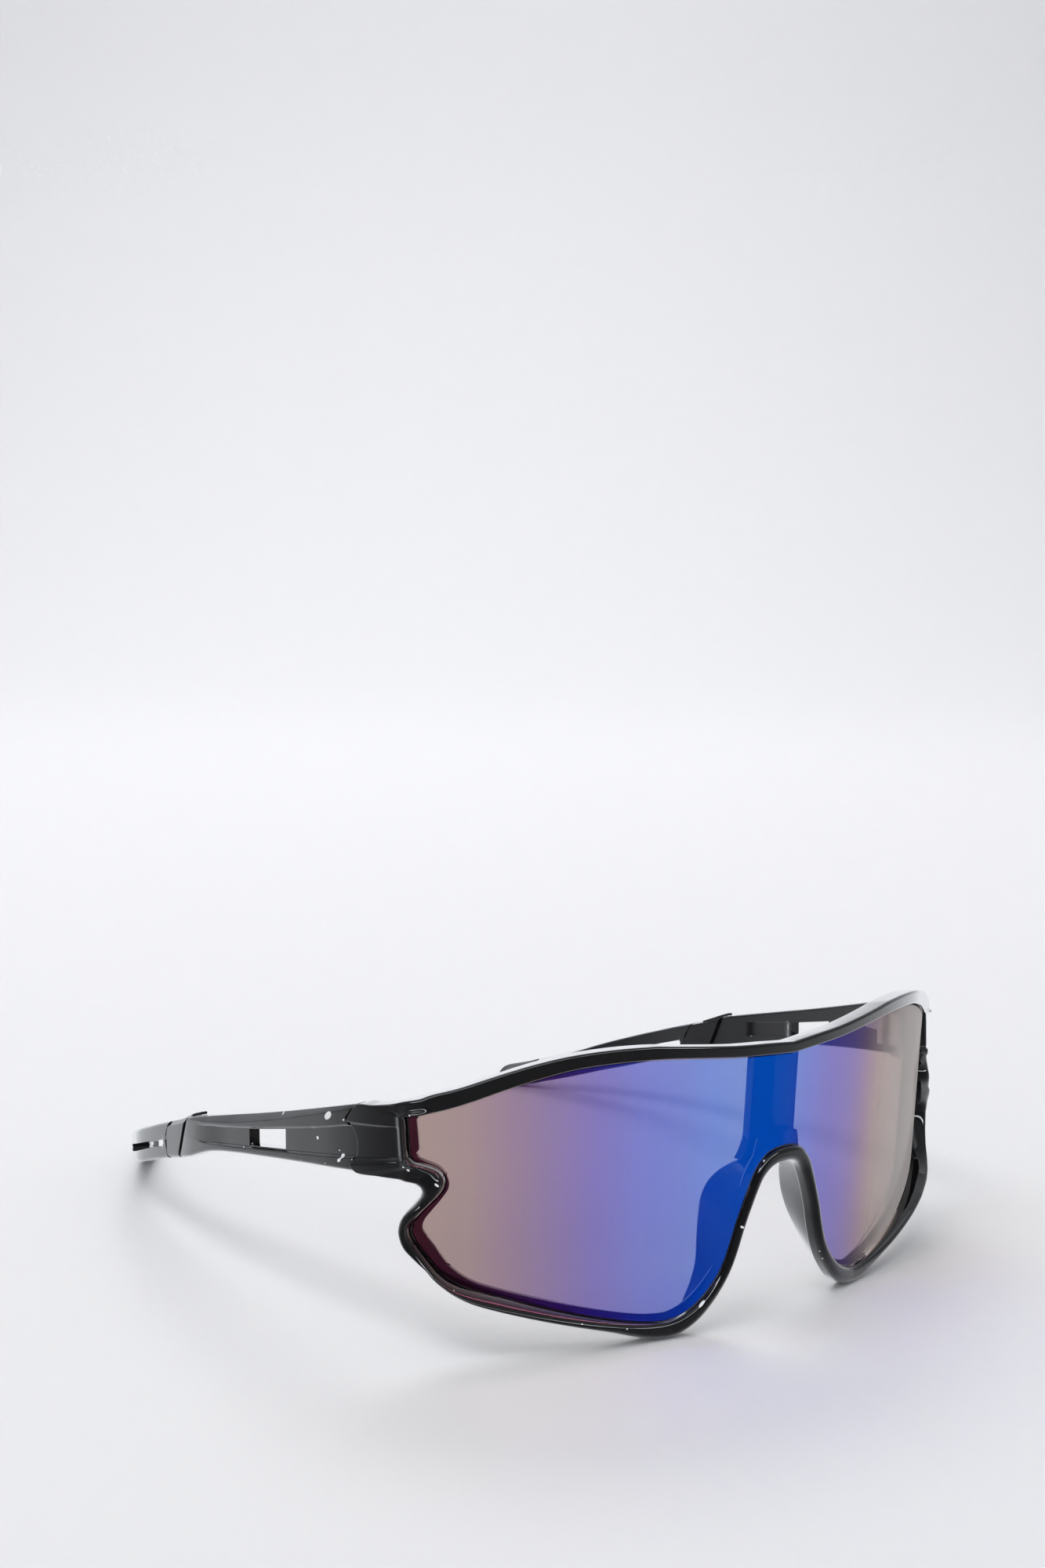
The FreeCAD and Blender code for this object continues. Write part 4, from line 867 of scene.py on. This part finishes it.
def build_lens():
    outline = lens_outline()
    count = len(outline)
    tangent = np.roll(outline, -1, 0) - np.roll(outline, 1, 0)
    tangent /= np.linalg.norm(tangent, axis=1)[:, None]
    inward = np.stack([tangent[:, 1], -tangent[:, 0]], 1)
    points = [np.column_stack([outline + inward * inset, np.full(count, height)])
              for inset, height in LENS_RINGS]
    faces, face_materials = [], []
    for a, b in zip(RING_ORDER, RING_ORDER[1:]):
        for i in range(count):
            j = (i + 1) % count
            faces.append((a * count + i, a * count + j, b * count + j, b * count + i))
            face_materials.append(0 if a in COATED_RINGS else 1)

    # both large faces share one triangulation inside the front ring
    inner = points[FRONT_RING][:, :2]
    flat = [Vector((float(x), float(z))) for x, z in (*inner, *grid_inside(inner))]
    border = [(i, (i + 1) % count) for i in range(count)]
    flat, _, triangles, origins, _, _ = delaunay_2d_cdt(
        flat, border, [list(range(count))], 1, 1e-6)
    on_ring = {k: o for k, found in enumerate(origins) for o in found if o < count}
    free = [k for k in range(len(flat)) if k not in on_ring]
    free_points = np.array([(flat[k].x, flat[k].y) for k in free])
    first_free = len(LENS_RINGS) * count
    maps = []
    for ring, start in ((FRONT_RING, first_free), (BACK_RING, first_free + len(free))):
        index = {k: ring * count + o for k, o in on_ring.items()}
        index.update((k, start + i) for i, k in enumerate(free))
        maps.append(index)
        height = np.full(len(free), LENS_RINGS[ring][1])
        points.append(np.column_stack([free_points, height]))
    front_index, back_index = maps
    for triangle in triangles:
        faces.append(tuple(front_index[i] for i in triangle))
        faces.append(tuple(back_index[i] for i in reversed(triangle)))
        face_materials += [0, 1]
    run, z, height = np.concatenate(points).T
    ob = add_object("shield_lens_glass", lens_point(run, z, height), faces,
                    [LENS_COAT, LENS_CLEAR], face_materials)
    mesh = ob.data
    bm = bmesh.new()
    bm.from_mesh(mesh)
    bmesh.ops.recalc_face_normals(bm, faces=bm.faces)
    bm.to_mesh(mesh)
    bm.free()

    # exact normals of the cylinder on both large faces
    sine = run / LENS_RADIUS
    exact = np.stack([sine, -np.sqrt(1 - sine ** 2), np.full(len(run), -LENS_SLOPE)], -1)
    exact /= np.linalg.norm(exact, axis=1)[:, None]
    normals = np.array([normal.vector for normal in mesh.vertex_normals], float)
    front, back = height > -0.001, height < 0.001 - LENS_THICK
    normals[front] = exact[front]
    normals[back] = -exact[back]
    mesh.normals_split_custom_set_from_vertices([tuple(normal) for normal in normals])
    return ob


lens = build_lens()

# ------------------------------------------------------------------ temples
# Notched split line between lug and arm: (-z, y).
SPLIT = Curve([
    (-46.0, 35.1), (-44.9, 35.3), (-43.5, 36.6), (-42.3, 37.6), (-41.3, 37.85),
    (-40.6, 36.8), (-38.9, 35.5), (-37.0, 35.3), (-35.2, 35.6), (-33.6, 36.7),
    (-32.9, 36.2), (-32.4, 35.2), (-31.5, 34.6)])
# Thickness of the temple: (y, thickness).
THICK = Curve([
    (30.0, 3.6), (36.0, 3.6), (40.0, 3.4), (80.0, 3.4), (92.0, 4.2), (105.0, 4.2),
    (112.0, 3.8), (140.0, 3.8), (160.0, 3.6)])
# Upper and lower edges of the recessed panel in the arm: (y, z).
PANEL_TOP = Curve([
    (32.0, 41.3), (36.5, 40.75), (46.0, 38.4), (56.6, 35.9), (68.2, 33.25), (76.0, 31.6),
    (83.4, 30.35), (88.0, 30.3), (94.0, 30.8)])
PANEL_BOTTOM = Curve([
    (32.0, 35.6), (36.5, 34.9), (46.0, 33.2), (56.4, 31.35), (68.0, 29.3), (80.7, 27.1),
    (86.0, 26.2), (90.0, 26.0)])
# Upper and lower edges of the slot in the ear section: (y, z).
SLOT_TOP = Curve([
    (104.0, 22.4), (107.0, 21.35), (114.0, 19.1), (121.0, 16.8), (128.0, 14.5),
    (133.6, 12.75), (136, 12.0)])
SLOT_BOTTOM = Curve([
    (104.0, 20.5), (107.0, 19.85), (114.0, 17.75), (121.0, 15.35), (128.0, 12.95),
    (133.8, 11.15), (136, 10.4)])
# Height of the collar's tab above the temple's top edge: (y, height).
TAB_LIFT = Curve([(89.0, 0.55), (90.5, 0.65), (92.0, 0.7), (94.0, 0.62), (97.0, 0.42),
                  (99.0, 0.28), (101.0, 0.12)])
# Upper and lower edges of the tip: (y, z).
TIP_TOP = Curve([(146.5, 10.35), (148.4, 9.7), (150.8, 8.9), (153.5, 8.1), (155.4, 7.5),
                 (156.4, 6.8), (156.88, 6.0)])
TIP_BOTTOM = Curve([
    (146.5, 4.45), (148.6, 3.82), (149.6, 3.5), (150.8, 3.15), (151.8, 2.85), (153.2, 2.65),
    (154.2, 2.72), (155.3, 3.1), (156.2, 3.95), (156.7, 4.9), (156.88, 5.6)])

# Nominal y of the piece ends; the real ends follow the slanted split lines.
ARM_START, ARM_END = 35.2, 92.75
COLLAR_START, COLLAR_END = 92.9, 102.86
EAR_START, EAR_END = 103.1, 147.88
TIP_START, TIP_END = 148.12, 156.9
ARM_WINDOW = (57.25, 69.75)
SLOT_START, SLOT_END = 106.7, 134.3


def collar_front_y(z):
    return COLLAR_START + (29.5 - z) * (4.0 / 9.3)


def collar_rear_y(z):
    """Chevron that points back in the middle of the temple."""
    return np.interp(z, [17.0, 18.7, 22.0, 26.0, 27.0], [103.4, 104.3, 105.6, 103.3, 102.9])


def tip_front_y(z):
    return 148.4 - (9.7 - z) * (1.0 / 7.7)


def temple_point(sign, y, depth, z):
    x, y = plan_point(y, depth)
    return np.stack([sign * x, y, z], -1)


def sweep(sign, stations, section, slanted):
    """Rings along the temple. section(y) gives (depth, z) points and slanted(y, z) each
    point's own y, found in a few rounds because z depends on it."""
    rings = []
    for y in stations:
        z = np.array(section(y), float)[:, 1]
        for _ in range(3):
            own_y = slanted(y, z)
            depth, z = np.array([section(float(u))[j] for j, u in enumerate(own_y)]).T
        rings.append(temple_point(sign, own_y, depth, z))
    return rings


# Section rows where the arm's panel floor starts, outside and inside.
ARM_ROWS_OUTER, ARM_ROWS_INNER = 13, 41


def arm_section(y):
    """Closed section of (depth from the outer face, z), from the top inner corner
    outwards, down the outer face, and back up the inner face."""
    top, bottom, thick = float(TOP(y)), float(BOTTOM(y)), float(THICK(y))
    fade = 1 - float(ease(77.0, 90.5, y))
    chamfer = float(np.interp(y, [34, 45, 60, 75, 85, 92], [0.7, 1.0, 1.35, 1.45, 1.0, 0.45]))
    chamfer_width = chamfer * 0.85
    low = float(PANEL_BOTTOM(y))
    high = min(float(PANEL_TOP(y)), top - chamfer - 0.75)
    floor = max(0.72 * fade, 0.012)
    upper_room = (top - chamfer - 0.25) - (high + 0.32)
    lower_room = (low - 0.32) - (bottom + 0.75)
    rows = np.linspace(high - 0.35, low + 0.35, 6)
    inner = 0.62 * float(ease(70.5, 72.0, y) * (1 - ease(83.2, 84.6, y)))
    return [
        # top and chamfer
        (thick - 0.75, top - 0.06), (chamfer_width + 0.35, top),
        (chamfer_width + 0.12, top - 0.02), (chamfer_width - 0.08, top - 0.12),
        (0.16, top - chamfer + 0.10), (0.04, top - chamfer - 0.06),
        (0.0, top - chamfer - 0.25),
        # outer face with its recessed panel
        (0.02, high + 0.32 + max(upper_room, 0.05) * 0.5),
        (0.05 * fade, high + 0.32), (0.10 * fade, high + 0.14), (0.22 * fade, high + 0.03),
        (floor * 0.83, high - 0.06), (floor, high - 0.22),
        *((floor, z) for z in rows),
        (floor, low + 0.22), (floor * 0.83, low + 0.06),
        (0.22 * fade, low - 0.03), (0.10 * fade, low - 0.14), (0.05 * fade, low - 0.32),
        (0.02, bottom + 0.75 + max(lower_room, 0.05) * 0.5),
        # bottom
        *arc(0.75, bottom + 0.75, 0.75, 180, 270, 6),
        *arc(thick - 0.6, bottom + 0.6, 0.6, 270, 360, 5),
        # inner face, recessed over part of its length
        (thick, (bottom + 0.6 + low + 0.2) / 2), (thick, low + 0.05),
        (thick - inner * 0.9, low + 0.2),
        *((thick - inner, z) for z in rows[::-1]),
        (thick - inner * 0.9, high - 0.2), (thick, high - 0.05),
        (thick, (high + top - 0.7) / 2),
        *arc(thick - 0.6, top - 0.66, 0.6, 0, 90, 4)[:-1]]


def build_arm(name, sign):
    window_start, window_end = ARM_WINDOW
    stations = [
        ARM_START, 35.32, 35.8, 36.8, 38.0, 39.5, 41.0, *np.linspace(43, 56.6, 9),
        57.0, window_start, *np.linspace(58.5, 68.4, 8), window_end, 70.0, 70.3,
        70.6, 71.0, 71.5, 72.0, *np.linspace(73, 81, 7), 82, 83.2, 83.7, 84.2, 84.6, 85.4,
        86.3, 87.2, 88.0, 88.8, 89.6, 90.6, 91.6, 92.35, 92.6, ARM_END]

    def slanted(y, z):
        front = SPLIT(-z) + GAP - ARM_START
        rear = collar_front_y(z) - GAP - ARM_END
        return y + front * (1 - ease(ARM_START, 43.0, y)) + rear * ease(84.6, ARM_END, y)

    window = Window(stations.index(window_start), stations.index(window_end),
                    ARM_ROWS_OUTER, ARM_ROWS_INNER, rows=5)
    rings = sweep(sign, stations, arm_section, slanted)
    return add_tube(name, rings, TEMPLE_BLACK, sharp_angle=40, window=window)


def collar_section(y):
    """Flat outer face with broad chamfers; a narrower neck in front of y = 94."""
    top, bottom, thick = float(TOP(y)), float(BOTTOM(y)), float(THICK(y))
    neck = 1.15 if y < 94 else 0.0
    chamfer = 0.9
    middle = (top + bottom) / 2
    return [
        (thick - 0.9 - neck, top - 0.05 - neck), (chamfer + 0.1 + neck, top - neck),
        (chamfer - 0.1 + neck, top - 0.05 - neck),
        (0.16 + neck, top - chamfer + 0.08 - neck * 0.6),
        (0.03 + neck, top - chamfer - 0.1 - neck * 0.6),
        (neck, top - chamfer - 0.4 - neck * 0.5), (neck, middle),
        (neck, bottom + 1.2 + neck * 0.3), (0.04 + neck, bottom + 0.8 + neck * 0.3),
        (0.2 + neck, bottom + 0.45 + neck * 0.6), (0.7 + neck, bottom + 0.08 + neck),
        (1.1 + neck, bottom + neck), (thick - 1.1 - neck, bottom + neck),
        (thick - 0.4 - neck, bottom + 0.25 + neck), (thick - neck, bottom + 0.9 + neck),
        (thick - neck, middle), (thick - neck, top - 0.9 - neck),
        (thick - 0.3 - neck, top - 0.3 - neck)]


def build_collar(name, sign):
    rings = []
    for y in (93.05, 93.2, 93.93, 94.07, 94.2, 94.5, 96.0, 98.0, 99.5, 100.8, 102.2, 102.7,
              COLLAR_END):
        # the section comes from the nominal y, so the neck ends squarely; only its
        # height follows the slanted ends
        depth, section_z = np.array(collar_section(y)).T
        top, bottom = float(TOP(y)), float(BOTTOM(y))
        share = np.clip((section_z - bottom) / (top - bottom), 0, 1)
        rearward = ease(94.5, 102.2, y)
        z = section_z
        for _ in range(3):
            front = collar_front_y(z) - COLLAR_START
            rear = collar_rear_y(z) - GAP - COLLAR_END
            own_y = y + front * (1 - rearward) + rear * rearward
            z = (section_z + ((TOP(own_y) - top) * share
                              + (BOTTOM(own_y) - bottom) * (1 - share)))
        rings.append(temple_point(sign, own_y, depth, z))
    return add_tube(name, rings, COLLAR_BLACK, sharp_angle=30)


def build_tab(name, sign):
    """Tab that runs forward from the collar over the inner half of the arm's top; its
    front end is cut on the slant."""
    width, slant = 2.1, 2.6
    rings = []
    for y in (90.4, 90.52, 90.75, *np.linspace(91.2, 100, 12)):
        inner = float(THICK(y)) - 0.75
        outer = inner - width
        lift = float(TAB_LIFT(y)) * (0.8 if y < 90.45 else 1)
        ring = []
        # (depth, share of the height)
        for depth, share in ((inner - 0.12, 1), (inner - 0.8, 1), (outer + 0.55, 0.92),
                             (outer + 0.15, 0.72), (outer, 0.4), (outer, 0), (inner, 0),
                             (inner, 0.85)):
            own_y = y + (inner - depth) / width * slant * (1 - float(ease(89.5, 97.0, y)))
            foot = 0.07 if own_y < 94.0 else -0.5
            ring.append((own_y, depth, float(TOP(own_y)) + foot + (lift - foot) * share))
        rings.append(temple_point(sign, *np.array(ring).T))
    return add_tube(name, rings, COLLAR_BLACK, sharp_angle=35)


# Section rows where the slot starts, outside and inside.
SLOT_ROWS_OUTER, SLOT_ROWS_INNER = 10, 32


def ear_section(y):
    """Rounded section with a slot that closes in round ends."""
    top, bottom, thick = float(TOP(y)), float(BOTTOM(y)), float(THICK(y))
    high, low = float(SLOT_TOP(y)), float(SLOT_BOTTOM(y))
    middle = (high + low) / 2
    from_end = min(y - SLOT_START, SLOT_END - y)
    opening = 0.04
    if from_end > 0:
        along = 1 - min(from_end / 0.75, 1.0)
        opening = min(1.0, math.sqrt(max(0.0, 1 - along ** 2)) + 0.04)
    high, low = middle + (high - middle) * opening, middle + (low - middle) * opening
    radius = 0.85
    upper = (top - radius + high + 0.25) / 2
    lower = (low - 0.25 + bottom + radius) / 2
    thirds = (1 / 3, 2 / 3)
    return [
        (thick - radius, top), (radius, top),
        *arc(radius, top - radius, radius, 90, 180, 5)[1:],
        (0.0, upper), (0.0, high + 0.22), (0.06, high + 0.06), (0.2, high),
        *((0.2, high - (high - low) * f) for f in thirds),
        (0.2, low), (0.06, low - 0.06), (0.0, low - 0.22), (0.0, lower),
        *arc(radius, bottom + radius, radius, 180, 270, 5),
        *arc(thick - radius, bottom + radius, radius, 270, 360, 5),
        (thick, lower), (thick, low - 0.22), (thick - 0.06, low - 0.06), (thick - 0.2, low),
        *((thick - 0.2, low + (high - low) * f) for f in thirds),
        (thick - 0.2, high), (thick - 0.06, high + 0.06), (thick, high + 0.22),
        (thick, upper),
        *arc(thick - radius, top - radius, radius, 0, 90, 5)[:-1]]


def build_ear(name, sign):
    steps = (0, 0.1, 0.25, 0.45, 0.75)      # closely spaced at the slot's round ends
    stations = [
        EAR_START, 103.25, 103.6, 104.4, 105.4, 106.3, *(SLOT_START + step for step in steps),
        109.5, *np.linspace(111, 132, 15), 133.0, *(SLOT_END - step for step in steps[::-1]),
        135.2, 137, 139, 141, 143, 145, 146.6, 147.6, 147.8, EAR_END]

    def slanted(y, z):
        front = collar_rear_y(z) + GAP - EAR_START
        rear = tip_front_y(z) - GAP - EAR_END
        return y + front * (1 - ease(EAR_START, SLOT_START, y)) + rear * ease(141.0, EAR_END, y)

    window = Window(stations.index(SLOT_START), stations.index(SLOT_END),
                    SLOT_ROWS_OUTER, SLOT_ROWS_INNER, rows=3)
    rings = sweep(sign, stations, ear_section, slanted)
    return add_tube(name, rings, EAR_BLACK, sharp_angle=42, window=window)


def build_tip(name, sign):
    """Tip with a rounded end."""
    end_length = 1.9
    rings = []
    for y in (TIP_START, 148.25, 148.8, 149.6, 150.4, 151.2, 152.0, 152.8, 153.6, 154.3,
              154.9, 155.4, 155.8, 156.15, 156.45, 156.68, 156.82):
        first = y < 148.2        # the first ring is drawn in all round
        trim = 0.12 if first else 0
        top, bottom = float(TIP_TOP(y)) - trim, float(TIP_BOTTOM(y)) + trim
        radius = min(1.2, (top - bottom) / 2 * 0.98)
        left = max(0.0, TIP_END - y)
        pinch = 0.0
        if left <= end_length:
            along = (end_length - left) / end_length
            pinch = (1 - math.sqrt(max(0.0, 1 - along ** 2))) * 1.25
        outer = pinch + (0.1 if first else 0)
        inner = float(THICK(y)) - outer
        radius_across = min(radius, (inner - outer) / 2 * 0.98)
        ring = []
        for centre, centre_z, start in (
                (inner - radius_across, top - radius, 0),
                (outer + radius_across, top - radius, 90),
                (outer + radius_across, bottom + radius, 180),
                (inner - radius_across, bottom + radius, 270)):
            for k in range(7):
                t = math.radians(start + 90 * k / 6)
                ring.append((centre + radius_across * math.cos(t),
                             centre_z + radius * math.sin(t)))
        depth, z = np.array(ring).T
        front = tip_front_y(z) + GAP - TIP_START
        own_y = y + front * (1 - ease(TIP_START, 151.0, y))
        rings.append(temple_point(sign, own_y, depth, z))
    return add_tube(name, rings, TIP_MATTE, sharp_angle=45)


# CAD part, its builder, its material slot
TEMPLE_PARTS = (
    ("temple_arm", build_arm, "frame_gloss"),
    ("temple_collar", build_collar, "collar_gloss"),
    ("ear_section", build_ear, "ear_rubber"),
    ("temple_tip", build_tip, "tip_matte"))
for side, sign in (("left", 1), ("right", -1)):
    body = side + "_temple"
    for part, build, slot in TEMPLE_PARTS:
        shell = build(f"{side}_{part}_shell", sign)
        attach(shell, body)
        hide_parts(f"{side}_{part}")
    tab = build_tab(side + "_collar_tab", sign)
    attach(tab, body)

for piece in front_pieces:
    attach(piece, "front")
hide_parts("front_frame")
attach(lens, "front")
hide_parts("shield_lens")

for name, part in frame["nodes"].items():
    if "hinge" in name or "core" in name:
        part.data.materials.clear()
        part.data.materials.append(HINGE_STEEL)

# ------------------------------------------------------- stage (in metres)
FLOOR_SLOPE = 0.0167     # the rims touch at the front and the tips 2.6 mm higher behind
FLOOR_TOUCH_Y = 3.0      # millimetres, where the sloped floor passes z = 0
FLOOR_TURN = -37.1       # degrees about Z, towards the camera
FLOOR_HALF_WIDTH = 2.6
BEND_START, BEND_RADIUS, BEND_STEPS = 0.9, 0.6, 12
WALL_TOP = 2.6
LIGHT_TARGET = (0, 0, 0.02)


def build_floor():
    """Sheet that bends up into a wall behind the glasses."""
    profile = [(-1.6, 0.0), (BEND_START, 0.0)]
    for k in range(1, BEND_STEPS + 1):
        t = math.radians(k / BEND_STEPS * 90)
        profile.append((BEND_START + BEND_RADIUS * math.sin(t),
                        BEND_RADIUS * (1 - math.cos(t))))
    profile.append((BEND_START + BEND_RADIUS, WALL_TOP))
    turn = Matrix.Rotation(math.radians(FLOOR_TURN), 4, "Z")
    bm = bmesh.new()
    rows = [[bm.verts.new(turn @ Vector((x, y, z)))
             for x in (-FLOOR_HALF_WIDTH, FLOOR_HALF_WIDTH)] for y, z in profile]
    for a, b in zip(rows, rows[1:]):
        bm.faces.new((a[0], a[1], b[1], b[0]))
    mesh = bpy.data.meshes.new("floor")
    bm.to_mesh(mesh)
    bm.free()
    for polygon in mesh.polygons:
        polygon.use_smooth = True
    mesh.materials.append(floor_paper("floor_paper"))
    floor = bpy.data.objects.new("floor", mesh)
    bpy.context.scene.collection.objects.link(floor)
    floor.rotation_euler = (math.atan(FLOOR_SLOPE), 0, 0)
    floor.location = (0, 0, FLOOR_SLOPE * (-(FLOOR_TOUCH_Y + CENTRE_Y)) / 1000)


def build_world():
    world = bpy.data.worlds.new("studio")
    bpy.context.scene.world = world
    graph = Graph(world)
    plain = graph.node("Background", {"Color": (0.945, 0.95, 0.98, 1), "Strength": 0.60})
    # what shiny surfaces see: a dim room, brighter overhead, with one thin strip of light
    # high on the camera's side
    direction = graph.node("TexCoord", out="Generated")
    height = graph.node("SeparateXYZ", {0: direction}, out=2)
    to_camera = graph.dot(direction, (-0.6035, -0.7974, 0.0))
    room = graph.smooth_range(to_camera, source=(-0.25, 0.35), target=(0.5, 0.62))
    overhead = graph.calc("MULTIPLY", graph.smooth_range(height, source=(0.62, 0.85)), 0.75)
    band = graph.calc("MULTIPLY", graph.smooth_range(height, source=(0.49, 0.51)),
                      graph.smooth_range(height, source=(0.61, 0.59)))
    strip = graph.calc("MULTIPLY", band, graph.smooth_range(to_camera, source=(0.25, 0.4)))
    strip = graph.calc("MULTIPLY", strip, 50.0)
    strength = graph.calc("ADD", graph.calc("ADD", room, overhead), strip)
    shiny = graph.node("Background", {"Color": (0.93, 0.955, 1.0, 1), "Strength": strength})
    is_glossy = graph.node("LightPath", out="Is Glossy Ray")
    graph.finish(graph.mix_shader(is_glossy, plain, shiny), kind="OutputWorld")


def add_area_light(name, location, size, power):
    light = bpy.data.lights.new(name, "AREA")
    light.shape = "RECTANGLE"
    light.size, light.size_y = size
    light.energy = power
    ob = bpy.data.objects.new(name, light)
    bpy.context.scene.collection.objects.link(ob)
    ob.location = location
    ob.rotation_mode = "QUATERNION"
    aim = Vector(LIGHT_TARGET) - Vector(location)
    ob.rotation_quaternion = aim.to_track_quat("-Z", "Y")


def add_camera():
    data = bpy.data.cameras.new("camera")
    camera = bpy.data.objects.new("camera", data)
    bpy.context.scene.collection.objects.link(camera)
    bpy.context.scene.camera = camera
    data.sensor_width = 36.0
    data.lens = 47.54412
    data.clip_start, data.clip_end = 0.01, 20
    axes = Matrix((Vector(VIEW_RIGHT), Vector(VIEW_UP), -Vector(VIEW_AHEAD)))
    placed = axes.transposed().to_4x4()
    placed.translation = Vector((-0.26363262, (-268.0410805 + CENTRE_Y) / 1000, 0.14666895))
    camera.matrix_world = placed


build_floor()
build_world()
add_area_light("key_softbox", location=(0.55, 0.9, 1.25), size=(0.9, 0.6), power=8.4)
add_area_light("top_strip", location=(-0.6, -0.1, 1.3), size=(1.2, 0.5), power=6.0)
add_camera()

bpy.context.scene.view_settings.view_transform = "Standard"
bpy.context.view_layer.update()
